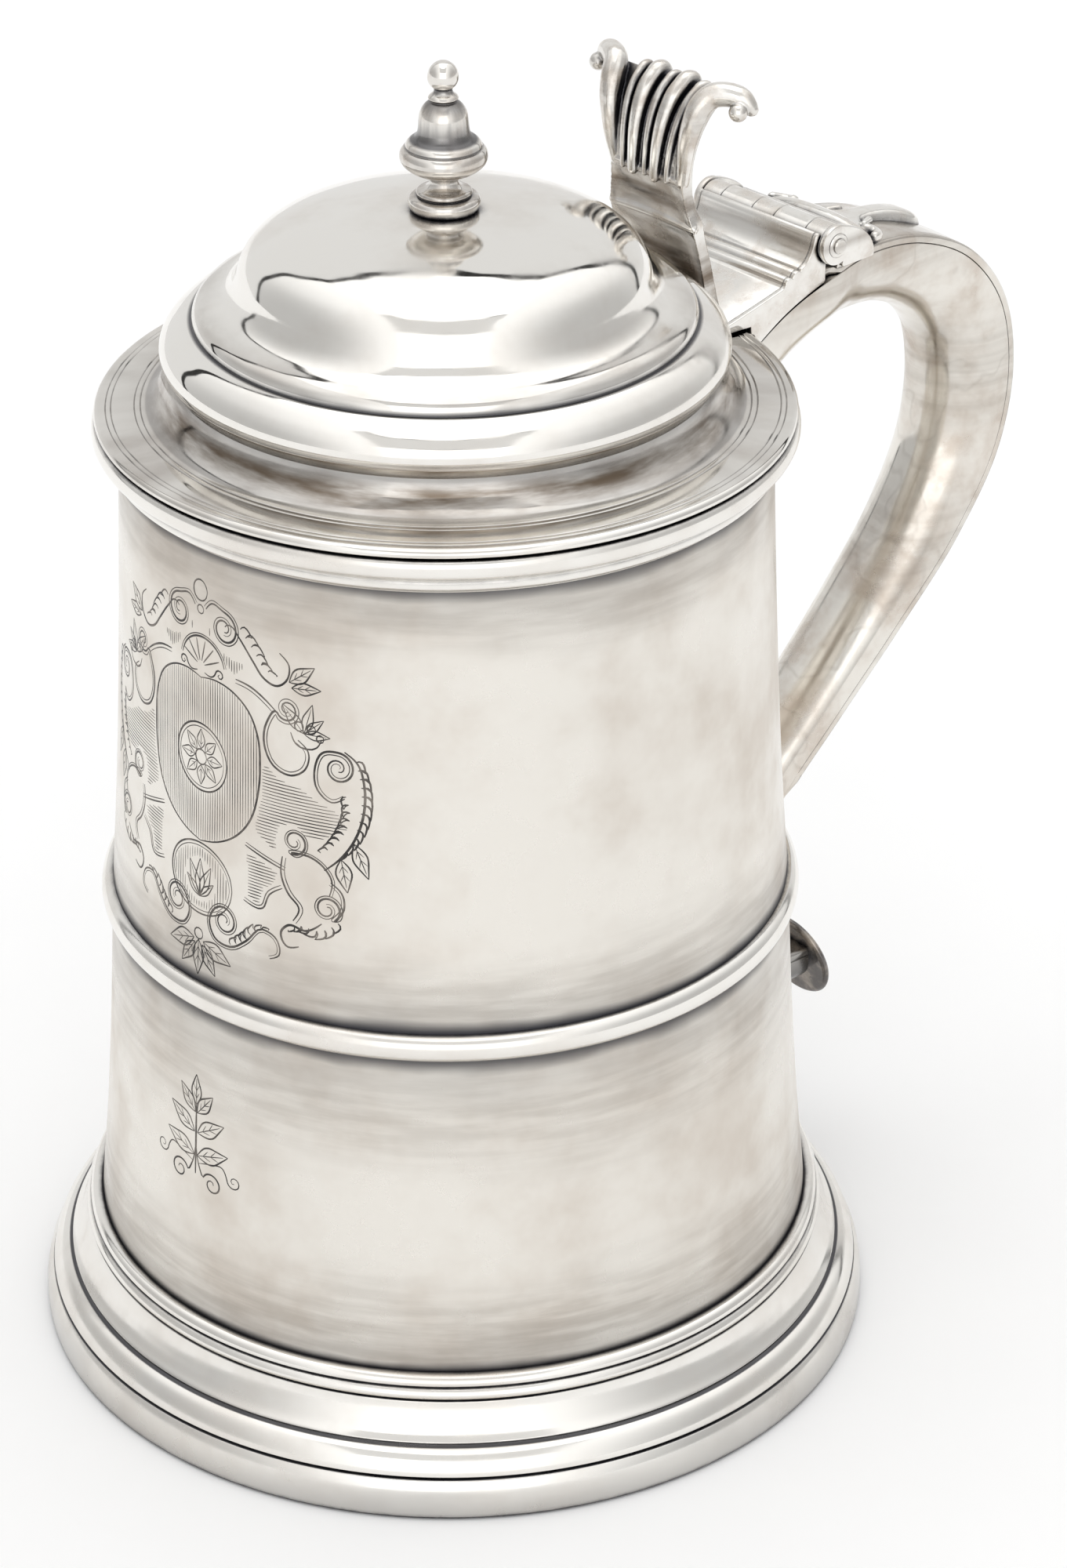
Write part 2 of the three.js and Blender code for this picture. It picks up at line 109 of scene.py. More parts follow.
def left_of(ahead):
    """The directions, in two dimensions, turned a quarter turn to the left."""
    return np.column_stack([-ahead[:, 1], ahead[:, 0]])


def shorten(line, start, end):
    """The line without its first and last stretches, of at most 45% each."""
    run = run_lengths(line)
    start = min(start, 0.45 * run[-1])
    end = run[-1] - min(end, 0.45 * run[-1])
    ends = places_on(line, run, [start, end])
    keep = line[(run > start + 1e-6) & (run < end - 1e-6)]
    return np.vstack([ends[0], keep, ends[1]])


def outline(points, detail=6, corner_steps=3):
    """Line through [a, b] points. A third number makes a corner there, rounded to that size."""
    runs, sizes, run = [], [0], []
    for point in points:
        run.append(point[:2])
        if len(point) == 3:
            runs.append(run)
            sizes.append(point[2])
            run = [point[:2]]
    runs.append(run)
    if len(runs[-1]) == 1:
        runs.pop()
        sizes[-1] = 0
    else:
        sizes.append(0)
    if len(runs[0]) == 1:
        runs.pop(0)
        sizes.pop(0)
        sizes[0] = 0
    lines = [
        shorten(smooth_line(r, detail), sizes[i], sizes[i + 1]) for i, r in enumerate(runs)
    ]
    parts = [lines[0]]
    t = np.linspace(0, 1, corner_steps + 1)[1:-1, None]
    for before, after, run in zip(lines, lines[1:], runs[1:]):
        corner = np.array(run[0], float)
        parts.append((1 - t) ** 2 * before[-1] + 2 * t * (1 - t) * corner + t**2 * after[0])
        parts.append(after)
    return np.vstack(parts)


def engraved_lines(places, depth=0.16, half=0.14, brow=0.03, foot=0.02):
    """Corners of V cuts in a level surface, at [radius, height] places from the outside in."""
    points = []
    for r, z in places:
        points += [(r + half, z, brow), (r, z - depth, foot), (r - half, z, brow)]
    return points


# ------------------------------------------------------------------ meshes
def turned(profile, sides=SIDES, closed=False):
    """Profile of [radius, height] points turned about the drum's axis."""
    verts, rings, faces = [], [], []
    angles = np.linspace(0, 2 * math.pi, sides, endpoint=False)
    for r, z in profile:
        count = 1 if r < 1e-6 else sides
        rings.append(range(len(verts), len(verts) + count))
        verts += [(r * math.cos(a), r * math.sin(a), z) for a in angles[:count]]
    for low, high in zip(rings, rings[1:] + (rings[:1] if closed else [])):
        for i in range(sides):
            j = (i + 1) % sides
            quad = [low[i % len(low)], low[j % len(low)], high[j % len(high)], high[i % len(high)]]
            quad = list(dict.fromkeys(quad))
            if len(quad) > 2:
                faces.append(quad)
    return verts, faces


def on_hinge(shape):
    """A turned shape laid along the hinge: its height becomes the place along Y."""
    verts, faces = shape
    return [(HINGE[0] + x, z, HINGE[2] + y) for x, y, z in verts], faces


def grid(points, wrap=True, caps=True):
    """Skin over rows of points; wrap closes each row on itself and caps closes the two ends."""
    rows, columns = points.shape[:2]
    faces = []
    for i in range(rows - 1):
        for j in range(columns if wrap else columns - 1):
            k = (j + 1) % columns
            a, b = i * columns, (i + 1) * columns
            faces.append((a + j, a + k, b + k, b + j))
    if caps:
        faces.append(tuple(reversed(range(columns))))
        faces.append(tuple(range((rows - 1) * columns, rows * columns)))
    return [tuple(p) for p in points.reshape(-1, 3)], faces


def slab(edge, y0, y1, bevel, turn=0.3):
    """[x, z] outline run along Y, its two ends eased by a bevel with a turn part way."""
    edge = np.array(edge)
    if np.allclose(edge[0], edge[-1]):
        edge = edge[:-1]
    ahead = np.roll(edge, -1, axis=0) - np.roll(edge, 1, axis=0)
    ahead /= np.linalg.norm(ahead, axis=1)[:, None]
    out = np.column_stack([ahead[:, 1], -ahead[:, 0]])
    x, z = edge[:, 0], edge[:, 1]
    area = np.sum(x * np.roll(z, -1) - z * np.roll(x, -1))
    inward = -out * (1 if area > 0 else -1)
    steps = [(0, 1), (turn, turn), (1, 0)]
    rows = [(y0 + bevel * along, share) for along, share in steps]
    rows += [(y1 - bevel * along, share) for along, share in steps[::-1]]
    points = np.array([
        [(*(e + n * bevel * share), y) for e, n in zip(edge, inward)] for y, share in rows
    ])
    return grid(points[:, :, [0, 2, 1]])


TIP = [(0.98, 0.2), (0.7, 0.71)]  # rings of a round tip: [way out, radius], in radii of the bar


def tube(path, radii, sides=16, detail=6):
    """Round bar along [x, y, z] points with a radius at each, ending in round tips."""
    line = smooth_line([[*p, r] for p, r in zip(path, radii)], detail)
    spine, radius = line[:, :3], line[:, 3]
    ahead = headings(spine)
    side = np.cross(ahead[0], [0, 0, 1.0] if abs(ahead[0][2]) < 0.9 else [1.0, 0, 0])
    rows = []
    angles = np.linspace(0, 2 * math.pi, sides, endpoint=False)
    last = len(spine) - 1
    for i, (p, a, r) in enumerate(zip(spine, ahead, radius)):
        side = side - a * np.dot(side, a)
        side /= np.linalg.norm(side)
        up = np.cross(a, side)
        circle = np.array([math.cos(t) * side + math.sin(t) * up for t in angles])
        if i == 0:
            rows += [p - a * r * out + circle * r * size for out, size in TIP]
        rows.append(p + circle * r)
        if i == last:
            rows += [p + a * r * out + circle * r * size for out, size in TIP[::-1]]
    return grid(np.array(rows))


def together(*shapes):
    verts, faces = [], []
    for v, f in shapes:
        faces += [tuple(i + len(verts) for i in face) for face in f]
        verts += list(v)
    return verts, faces


SAME_PLACE = 2e-6  # m; points nearer to each other than this are one


def make_on(body, name, shape, material):
    """One piece in the row frame, riding on a body and finished as a slot."""
    verts, faces = shape
    mesh = bpy.data.meshes.new(name)
    mesh.from_pydata([((x + AXIS_X) * MM, y * MM, z * MM) for x, y, z in verts], [], faces)
    clean = bmesh.new()
    clean.from_mesh(mesh)
    bmesh.ops.remove_doubles(clean, verts=clean.verts, dist=SAME_PLACE)
    bmesh.ops.dissolve_degenerate(clean, edges=clean.edges, dist=SAME_PLACE / 2)
    bmesh.ops.recalc_face_normals(clean, faces=clean.faces)
    clean.to_mesh(mesh)
    clean.free()
    mesh.polygons.foreach_set("use_smooth", [True] * len(mesh.polygons))
    piece = bpy.data.objects.new(name, mesh)
    bpy.context.scene.collection.objects.link(piece)
    mesh.materials.append(material)
    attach(piece, body)
    return piece


def make(name, shape, material, replaces):
    """One piece that stands for the CAD nodes it replaces."""
    piece = make_on(BODY_OF[replaces[0]], name, shape, material)
    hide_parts(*replaces)
    return piece


def settle(piece):
    """Replaces the piece's mesh with what its modifiers make of it."""
    ready = piece.evaluated_get(bpy.context.evaluated_depsgraph_get())
    mesh = bpy.data.meshes.new_from_object(ready)
    piece.modifiers.clear()
    piece.data = mesh
    mesh.polygons.foreach_set("use_smooth", [True] * len(mesh.polygons))


def sharpen_flats(piece, angle=32):
    """Marks the edges between faces that meet at more than the angle as sharp."""
    edges = bmesh.new()
    edges.from_mesh(piece.data)
    for edge in edges.edges:
        if len(edge.link_faces) == 2:
            edge.smooth = edge.calc_face_angle() < math.radians(angle)
    edges.to_mesh(piece.data)
    edges.free()


# ------------------------------------------------------------------ silver
BRIGHT = (0.86, 0.84, 0.80, 1)
SOFT = (0.80, 0.77, 0.715, 1)
TARNISH = (0.60, 0.53, 0.46, 1)
UMBER = (0.17, 0.13, 0.095, 1)
# Black of painted shade, with oxide, in hollows and beside ledges and joins
SHADE_AND_OXIDE = (0.05, 0.05, 0.058, 1)
MOST = (0.3, 0.7)  # most of a noise's values lie between these
GRAIN_HEIGHT, PIT_HEIGHT, SCRATCH_DEPTH = 0.0016, 0.0012, 0.0004  # mm
# Three sets of scratches: [times as fine across, times as fine along, noise level they start at].
SCRATCHES = ((5.0, 0.1, 0.68), (3.8, 0.07, 0.69), (4.4, 0.08, 0.69))


class Shader:
    """A material's nodes, made and linked in one call each."""

    def __init__(self, owner):
        self.material = owner
        owner.use_nodes = True
        self.tree = owner.node_tree
        self.tree.nodes.clear()

    def add(self, kind, inputs=(), **settings):
        node = self.tree.nodes.new("ShaderNode" + kind)
        for key, value in settings.items():
            setattr(node, key, value)
        for key, value in dict(inputs).items():
            self.plug(node.inputs[key], value)
        return node

    def plug(self, socket, value):
        if isinstance(value, bpy.types.NodeSocket):
            self.tree.links.new(value, socket)
        else:
            socket.default_value = value

    def math(self, operation, *values, clamp=False):
        inputs = dict(enumerate(values))
        return self.add("Math", inputs, operation=operation, use_clamp=clamp).outputs[0]

    def total(self, first, *rest):
        for value in rest:
            first = self.math("ADD", first, value)
        return first

    def product(self, first, *rest):
        for value in rest:
            first = self.math("MULTIPLY", first, value)
        return first

    def largest(self, first, *rest):
        for value in rest:
            first = self.math("MAXIMUM", first, value)
        return first

    def noise(self, vector, scale, detail=3.0, roughness=0.55):
        inputs = {"Vector": vector, "Scale": scale, "Detail": detail, "Roughness": roughness}
        return self.add("TexNoise", inputs).outputs["Fac"]

    def stretch(self, value, low, high, to_low=0.0, to_high=1.0):
        """Smooth ramp of a value from low..high to to_low..to_high."""
        inputs = {"Value": value, "From Min": low, "From Max": high}
        inputs |= {"To Min": to_low, "To Max": to_high}
        return self.add("MapRange", inputs, interpolation_type="SMOOTHSTEP").outputs["Result"]

    def mix(self, factor, first, second):
        node = self.add("Mix", {"Factor": factor}, data_type="RGBA")
        self.plug(node.inputs[6], first)
        self.plug(node.inputs[7], second)
        return node.outputs[2]

    def window(self, value, low, high, soft):
        """1 where the value lies from low to high, with soft edges, and 0 elsewhere."""
        rise = self.stretch(value, low - soft, low + soft)
        fall = self.stretch(value, high - soft, high + soft, 1.0, 0.0)
        return self.product(rise, fall)


class Skin(Shader):
    """Shader with places on the tankard: mm, and angle, height and radius about the drum's axis."""

    def __init__(self, owner):
        super().__init__(owner)
        place = self.add("TexCoord").outputs["Object"]
        shift = (-AXIS_X * MM, 0, 0)
        moved = self.add("VectorMath", {0: place, 1: shift}, operation="ADD").outputs[0]
        scaled = self.add("VectorMath", {0: moved, "Scale": 1 / MM}, operation="SCALE")
        self.mm = scaled.outputs[0]
        axes = self.add("SeparateXYZ", {0: self.mm}).outputs
        self.height = axes["Z"]
        self.angle = self.math("ARCTAN2", axes["X"], self.product(axes["Y"], -1.0))
        squares = [self.math("POWER", axes[k], 2) for k in "XY"]
        self.radius = self.math("SQRT", self.total(*squares))

    def unrolled(self, turn, rise=1, out=0):
        """Angle, height and radius as one place, each multiplied by its factor."""
        parts = {}
        for i, (value, factor) in enumerate(
            ((self.angle, turn), (self.height, rise), (self.radius, out))
        ):
            if factor:
                parts[i] = value if factor == 1 else self.product(value, factor)
        return self.add("CombineXYZ", parts).outputs[0]

    def stains(self, size):
        """Soft blotches about so many millimetres across."""
        blotch = self.stretch(self.noise(self.mm, 1 / size, 5.0, 0.62), 0.4, 0.66)
        finer = self.stretch(self.noise(self.mm, 3 / size, 3.0), *MOST, 0.5, 1.0)
        return self.product(blotch, finer)

    def fade(self, start, end, strength, wave):
        """Painted shade, with oxide, beside ledges and joins: strongest at the height where it starts,
        with a quick edge there, and gone at its end.
        """
        along = self.math("DIVIDE", self.math("SUBTRACT", self.height, start), end - start)
        begun = self.stretch(along, -0.12, -0.02)
        left = self.stretch(self.product(along, wave), 0, 1, strength, 0)
        return self.product(begun, left)

    def shade_in_hollows(self, size, bounds, strength):
        """Painted shade, with oxide, in hollows up to about so many millimetres wide, found by ambient
        occlusion.
        """
        occlusion = self.add("AmbientOcclusion", {"Distance": size * MM}, samples=6)
        dark = self.math("SUBTRACT", 1.0, occlusion.outputs["AO"])
        ragged = self.stretch(self.noise(self.mm, 0.35, 4.0, 0.6), *MOST, 0.82, 1.12)
        return self.stretch(self.product(dark, ragged), *bounds, 0, strength)

    def scratch_lines(self):
        place = self.unrolled(50.0, 1, 0.1)
        sets = []
        for i, (across, along, level) in enumerate(SCRATCHES):
            tilt = {"Vector": place, "Rotation": (0, 0, 0.3 + 1.1 * i)}
            tilted = self.add("VectorRotate", tilt, rotation_type="EULER_XYZ").outputs[0]
            stretched = {0: tilted, 1: (across, along, 1.0)}
            strand = self.add("VectorMath", stretched, operation="MULTIPLY").outputs[0]
            sets.append(self.stretch(self.noise(strand, 1.0, 0.0), level, level + 0.1))
        return self.total(*sets)


def silver(
    name,
    roughness=0.1,
    stain=0.3,
    stain_size=28.0,
    hollows=1.0,
    hollow_size=2.0,
    hollow_range=(0.12, 0.7),
    grain=0.25,
    scratches=0.3,
    ripple=0.01,
    ripple_size=14.0,
    shade_fades=(),
    umber=(),
    tides=0.0,
    colour=BRIGHT,
):
    """Worn silver: warm blotches, painted shade with oxide in hollows, by ambient occlusion, and in shade
    fades [from z, to z, strength] beside ledges and joins that are strongest where they start, umber
    stains in bands [z, half width, strength], dark tide marks, fine turning marks, loose scratches and
    the slow ripple of raised work."""
    s = Skin(bpy.data.materials.new(name))
    wave = s.stretch(s.noise(s.unrolled(3, 0.1), 0.6, 3.0), *MOST, 0.75, 1.3)
    masks = [s.fade(*row, wave) for row in shade_fades]
    # Painted shade, with oxide, in hollows, found by ambient occlusion; every finish but the engraved one
    # has it.
    if hollows > 0:
        masks.append(s.shade_in_hollows(hollow_size, hollow_range, hollows))
    shade_and_oxide = s.largest(*masks) if masks else 0.0

    cloud = s.stains(stain_size)
    tint = s.mix(s.product(cloud, stain), colour, TARNISH)
    if tides > 0:
        tide = s.window(s.noise(s.mm, 0.6 / stain_size, 3.0, 0.5), 0.5, 0.504, 0.014)
        tint = s.mix(s.product(tide, tides), tint, UMBER)
    streak = s.stretch(s.noise(s.unrolled(6), 0.5, 4.0), 0.3, 0.68, 0.35, 1.0)
    for at, half, strength in umber:
        away = s.math("ABSOLUTE", s.math("SUBTRACT", s.height, at))
        near = s.stretch(s.product(away, wave), 0, half, strength, 0)
        tint = s.mix(s.product(near, streak), tint, UMBER)
    # Painted shade, with oxide, blackens the colour in hollows and beside ledges and joins.
    tint = s.mix(shade_and_oxide, tint, SHADE_AND_OXIDE)

    marks = s.scratch_lines()
    turning = s.noise(s.unrolled(1.2, 2.2, 2.2), 2.0, 2.0)
    slow = s.noise(s.mm, 1 / ripple_size, 1.0)
    pits = s.noise(s.mm, 0.9, 2.0)
    relief = s.total(
        s.product(turning, GRAIN_HEIGHT * grain),
        s.product(marks, -SCRATCH_DEPTH * scratches),
        s.product(slow, 4 * ripple),
        s.product(pits, PIT_HEIGHT * grain),
    )
    bump = s.add("Bump", {"Height": relief, "Strength": 1.0, "Distance": MM})

    dull = s.product(s.total(cloud, s.product(shade_and_oxide, 0.8)), 0.18)
    uneven = s.stretch(s.noise(s.mm, 0.12, 4.0), *MOST, -0.03, 0.04)
    gloss = s.total(dull, uneven, roughness, s.product(marks, 0.03 * scratches))
    look = {"Base Color": tint, "Metallic": 1.0, "Roughness": gloss, "Normal": bump.outputs[0]}
    shader = s.add("BsdfPrincipled", look)
    s.add("OutputMaterial", {"Surface": shader.outputs[0]})
    return s.material


MID_BAND_Z = float(np.mean([e[2] for e in box_mm("mid_band")]))
BAND_TOP, BAND_FOOT = MID_BAND_Z + 2.1, MID_BAND_Z - 2.1
LIP_FOOT, FOOT_TOP = 148.0, 20.4
# The drum's black fades are painted shade and painted reflection where it meets its band, lip and foot;
# its umber bands are stains.
DRUM_SILVER = silver(
    "silver_drum", roughness=0.27, stain=0.62, stain_size=34.0, hollows=0.9, hollow_size=2.2,
    grain=0.8, scratches=0.25, ripple=0.007, ripple_size=24.0, colour=SOFT,
    shade_fades=(
        (BAND_TOP, BAND_TOP + 2.8, 1.0), (BAND_TOP, BAND_TOP + 9.9, 0.2),
        (BAND_FOOT, BAND_FOOT - 3.5, 0.9), (BAND_FOOT, BAND_FOOT - 13.9, 0.2),
        (LIP_FOOT, LIP_FOOT - 2.8, 0.85), (LIP_FOOT, LIP_FOOT - 10.0, 0.2),
        (FOOT_TOP, FOOT_TOP + 2.2, 0.95), (FOOT_TOP, FOOT_TOP + 8.6, 0.22),
    ),
    umber=(
        (143.5, 9.0, 0.3), (26.0, 13.0, 0.4), (MID_BAND_Z - 12, 15.0, 0.3),
        (MID_BAND_Z + 6, 11.0, 0.34),
    ),
)
# The foot ring's black fades are painted shade in its quirks, and it is darker towards its bottom edge.
MOULDING_SILVER = silver(
    "silver_moulding", roughness=0.12, stain=0.35, grain=0.6, scratches=0.5, ripple=0.006,
    hollow_size=1.6, hollow_range=(0.07, 0.45),
    shade_fades=(
        (-1, 9, 0.4), (6.62, 7.4, 0.95), (10.62, 11.5, 0.95), (16.8, 17.3, 0.7), (18.8, 19.3, 0.7),
    ),
)
# The lid's black fades are painted shade at the foot of its upper step, under its round bulge and in the
# cove above its flange.
LID_SILVER = silver(
    "silver_lid", roughness=0.055, stain=0.3, stain_size=22.0, grain=0.35, scratches=0.35,
    ripple=0.006, hollow_size=2.2,
    shade_fades=((169.3, 170.4, 0.95), (161.3, 158.6, 0.5), (156.4, 157.6, 0.35)),
    umber=((158.6, 4.2, 1.0), (171.2, 1.6, 0.35)),
)
# The handle's fade is painted shade, darker towards its lower end by the drum and the end disc.
HANDLE_SILVER = silver(
    "silver_handle", roughness=0.13, stain=1.0, stain_size=13.0, grain=0.5, scratches=0.4,
    ripple=0.014, ripple_size=10.0, hollow_size=2.0, shade_fades=((22.0, 42.0, 0.95),),
    umber=((157.0, 9.0, 0.35), (128.0, 16.0, 0.35), (102.0, 12.0, 0.3)), tides=0.35, colour=SOFT,
)
HINGE_SILVER = silver(
    "silver_hinge", roughness=0.17, stain=0.7, stain_size=7.0, grain=0.7, scratches=0.7,
    ripple=0.002, hollow_size=1.2, umber=((165.2, 1.8, 0.45),),
)
CAST_SILVER = silver(
    "silver_cast", roughness=0.15, stain=0.85, stain_size=6.0, grain=0.6, scratches=0.4,
    ripple=0.01, ripple_size=4.0, hollow_size=2.6, hollow_range=(0.05, 0.45),
    umber=((176.5, 4.2, 0.95), (165.5, 8.5, 1.0), (190.5, 6.0, 0.4)),
)
# The finial's black fades are painted shade beside its ledges; its darker colour is its heavier oxide.
FINIAL_SILVER = silver(
    "silver_finial", roughness=0.1, stain=0.6, stain_size=4.0, grain=0.3, scratches=0.3,
    ripple=0.003, hollow_size=1.1, hollow_range=(0.1, 0.55), colour=(0.78, 0.755, 0.715, 1),
    shade_fades=(
        (196.35, 200.4, 0.85), (202, 200.2, 0.75), (204, 202.7, 1), (195.3, 194.8, 0.8),
        (190.8, 188.8, 0.4),
    ),
    umber=((193.5, 3.0, 0.25), (188.2, 1.8, 0.6)),
)
DROP_SILVER = silver(
    "silver_drop", roughness=0.14, stain=0.5, stain_size=6.0, grain=0.5, scratches=0.4,
    ripple=0.008, ripple_size=4.0, hollow_size=2.4, hollow_range=(0.06, 0.5),
)
# The end disc's near-black colour is painted shade: it is seen from its back, turned from the light.
TERMINAL_SHADED = silver(
    "silver_terminal_shaded", roughness=0.2, stain=0.8, stain_size=5.0, grain=0.5, scratches=0.5,
    ripple=0.004, hollow_size=1.6, colour=(0.15, 0.14, 0.135, 1),
)
# The engraving's black is oxide in the cuts and painted shade of the grooves, which the bars only stand
# for.
ENGRAVED_SILVER = silver(
    "silver_engraved", roughness=0.36, stain=0.4, stain_size=5.0, hollows=0, grain=0.4,
    scratches=0.3, ripple=0.0, colour=(0.06, 0.057, 0.055, 1),
)


# ------------------------------------------------------------------ drum, foot and mouldings
WALL = 1.2
DRUM = [
    (57, 7.5), (56.3, 20), (54.9, 35), (53.5, 55), (52.4, 75), (50.9, 96), (49.8, 116), (49, 135),
    (48.6, 147), (48.5, 154),
]


def drum_radius(z):
    return float(np.interp(z, [p[1] for p in DRUM], [p[0] for p in DRUM]))


DRUM_SIDE = smooth_line(DRUM, 8)


def skin_radius(angle, z):
    """Radius of the drum's faceted skin at an angle and height."""
    facet = 2 * math.pi / SIDES
    ring = float(np.interp(z, DRUM_SIDE[:, 1], DRUM_SIDE[:, 0]))
    return ring * math.cos(facet / 2) / math.cos(angle % facet - facet / 2)


def make_drum():
    side = DRUM_SIDE
    inside = (side - [WALL, 0])[::-1]
    rim, base = [(48.35, 154.1), (47.45, 154.1)], [(55.95, 7.4), (56.85, 7.4)]
    profile = np.vstack([side[:-1], rim, inside[1:-1], base])
    return make("drum", turned(profile, closed=True), DRUM_SILVER, ["body_wall"])


def make_floor():
    rim = drum_radius(9) - WALL + 0.1
    profile = outline([
        (0, 11.5), (rim * 0.35, 11.3), (rim * 0.7, 10.4), (rim, 9.0, 0.2), (rim, 10.2, 0.2),
        (rim * 0.96, 10.3), (rim * 0.7, 11.6), (rim * 0.35, 12.5), (0, 12.7),
    ])
    return make("drum_floor", turned(profile), DRUM_SILVER, ["body_floor"])


def make_foot():
    profile = outline([
        (63.6, 0.05), (64.8, 0, 0.1), (65.9, 0.25, 0.4), (65.99, 1.6), (65.95, 3.2), (65.75, 4.7),
        (65.3, 5.9), (64.9, 6.55, 0.1), (64.25, 6.75, 0.06), (64.75, 7.1, 0.1), (64.5, 8), (63.85, 9.2),
        (63, 10.1), (62.15, 10.55, 0.1), (61.5, 10.75, 0.06), (61.6, 11.2, 0.1), (60.75, 12.1),
        (59.85, 13.7), (59.15, 15.3), (58.75, 16.7, 0.08), (58.25, 16.88, 0.05), (58.8, 17.2, 0.1),
        (58.98, 17.7), (58.75, 18.35), (58.45, 18.7, 0.08), (57.95, 18.88, 0.05), (58.3, 19.2, 0.1),
        (58.25, 19.7), (57.8, 20.35), (57.3, 20.6), (56.6, 20.65, 0.15), (56.1, 20.5), (56.2, 17),
        (57.3, 14.5), (58.6, 12.2), (60.2, 9.9), (62.7, 7.6), (63.6, 5), (63.8, 2), (63.6, 0.05),
    ])
    return make("foot_ring", turned(profile[:-1], closed=True), MOULDING_SILVER, ["foot_moulding"])


def make_band():
    middle = MID_BAND_Z
    base = drum_radius(middle)
    top, foot = drum_radius(BAND_TOP) - 0.05, drum_radius(BAND_FOOT) - 0.05
    profile = outline([
        (base - 0.2, middle), (top, BAND_TOP + 0.05, 0.1), (base + 0.55, middle + 1.95),
        (base + 1.3, middle + 1.35), (base + 1.72, middle), (base + 1.35, middle - 1.35),
        (base + 0.75, middle - 1.95), (foot, BAND_FOOT - 0.05, 0.1), (base - 0.2, middle),
    ])
    return make("mid_band_wire", turned(profile[:-1], closed=True), MOULDING_SILVER, ["mid_band"])


def make_lip():
    profile = outline([
        (48.4, 150), (48.4, 154.3, 0.1), (51.2, 154.3, 0.25), (51.95, 153.95), (52.3, 153),
        (52.28, 152.2), (51.9, 151.45, 0.12), (51.2, 151.15), (50.5, 150.7), (50.1, 150.15, 0.1),
        (50.2, 149.65), (50.1, 149.1), (49.8, 148.7, 0.1), (49.35, 148.5), (48.95, 148, 0.1),
        (48.45, 147.85, 0.05), (48.4, 150),
    ])
    return make("lip_ring", turned(profile[:-1], closed=True), MOULDING_SILVER, ["lip_moulding"])


# ------------------------------------------------------------------ lid
def make_lid():
    # The flange's top rises a little towards the middle, with two pairs of engraved lines in it.
    top = [(r, 155.85 + 0.35 * (50.2 - r) / 5.6) for r in (50.1, 49.3, 45.85, 44.95)]
    profile = outline([
        (43.4, 154.45, 0.1), (51.3, 154.45, 0.15), (51.75, 154.6), (51.9, 155), (51.7, 155.5),
        (51.2, 155.8), (50.6, 155.85), *engraved_lines(top), (44.3, 156.3), (43.2, 156.75), (42.1, 157.6),
        (41.1, 158.8), (40.45, 160.2), (40.2, 161.4, 0.15), (40.9, 162.3), (41.6, 163.3), (41.95, 164.5),
        (41.7, 165.8), (40.9, 167), (39.8, 168), (38.6, 168.8), (37.7, 169.2, 0.1), (37.05, 169.3, 0.08),
        (36.95, 170.1), (36.5, 170.9), (35.4, 171.6), (33.8, 172.15), (32.3, 172.85), (31.2, 174),
        (30.5, 175.5), (30, 177), (29.3, 178.4), (28.2, 179.8), (26.6, 181.05), (24.5, 182.15),
        (21.7, 183.15), (18, 184.05), (13.5, 184.8), (9, 185.25), (4.5, 185.52), (0, 185.6),
    ], detail=5)
    inside = outline([
        (0, 184.4), (9, 184.1), (17.6, 182.8), (24.2, 180.6), (27.7, 177.4), (28.9, 174.2), (30.6, 171.9),
        (35.2, 169.5, 0.4), (36.8, 168), (39.2, 166.6), (40.5, 164.9), (38.9, 161.6, 0.3), (39.4, 159),
        (41.4, 156.2), (43.4, 154.5),
    ])
    return make("lid_shell", turned(np.vstack([inside, profile[1:]])), LID_SILVER, ["lid_cover"])


def make_bezel():
    profile = outline([
        (45.6, 154.55), (46.2, 154.5, 0.1), (46.2, 152.4, 0.4), (45.8, 151.2, 0.2), (45, 151.2, 0.2),
        (45, 154.55, 0.1), (45.6, 154.55),
    ])
    return make("lid_inner_ring", turned(profile[:-1], closed=True), LID_SILVER, ["lid_bezel"])


def make_finial():
    profile = outline([
        (0, 185.3), (4.6, 185.3, 0.1), (4.9, 185.65), (5.2, 186.3), (5.3, 186.85), (5.1, 187.4),
        (4.75, 187.65, 0.06), (3.9, 187.75, 0.06), (4.1, 188.15), (3.95, 188.5), (3.6, 188.7, 0.08),
        (2.7, 188.95), (2.2, 189.5), (2.1, 190.2), (2.4, 190.7), (3, 190.95, 0.06), (3.05, 191.15, 0.05),
        (4.4, 191.45), (5.1, 191.8, 0.06), (5.35, 192), (6, 192.6), (6.38, 193.3), (6.4, 193.9),
        (6.15, 194.6), (5.8, 194.95, 0.06), (5.55, 195, 0.04), (5.6, 195.25, 0.05), (5.35, 195.75),
        (4.8, 196.2), (4.2, 196.6), (3.85, 197.2), (3.68, 198.2), (3.62, 199.2), (3.5, 200),
        (3.1, 200.95), (2.4, 201.7), (1.9, 202, 0.06), (1.95, 202.15, 0.04), (2.25, 202.45, 0.1),
        (2, 202.8), (1.5, 203.2), (1.32, 203.6, 0.08), (1.4, 203.9, 0.05), (1.85, 204.3), (2.2, 205),
        (2.25, 205.75), (2, 206.7), (1.5, 207.35), (0.8, 207.8), (0, 207.9),
    ])
    return make("finial_turned", turned(profile, FINE_SIDES), FINIAL_SILVER, ["finial"])


# ------------------------------------------------------------------ hinge
def round_bar(start, end, radius, bore=0.0, ease=0.2):
    """Bar or tube along the hinge from one y to another, with eased ends."""
    rim = radius - ease
    outer = [(rim, start), (radius, start + ease), (radius, end - ease), (rim, end)]
    if bore > 0:
        return on_hinge(turned([*outer, (bore, end), (bore, start)], FINE_SIDES, closed=True))
    return on_hinge(turned([(0, start), *outer, (0, end)], FINE_SIDES))


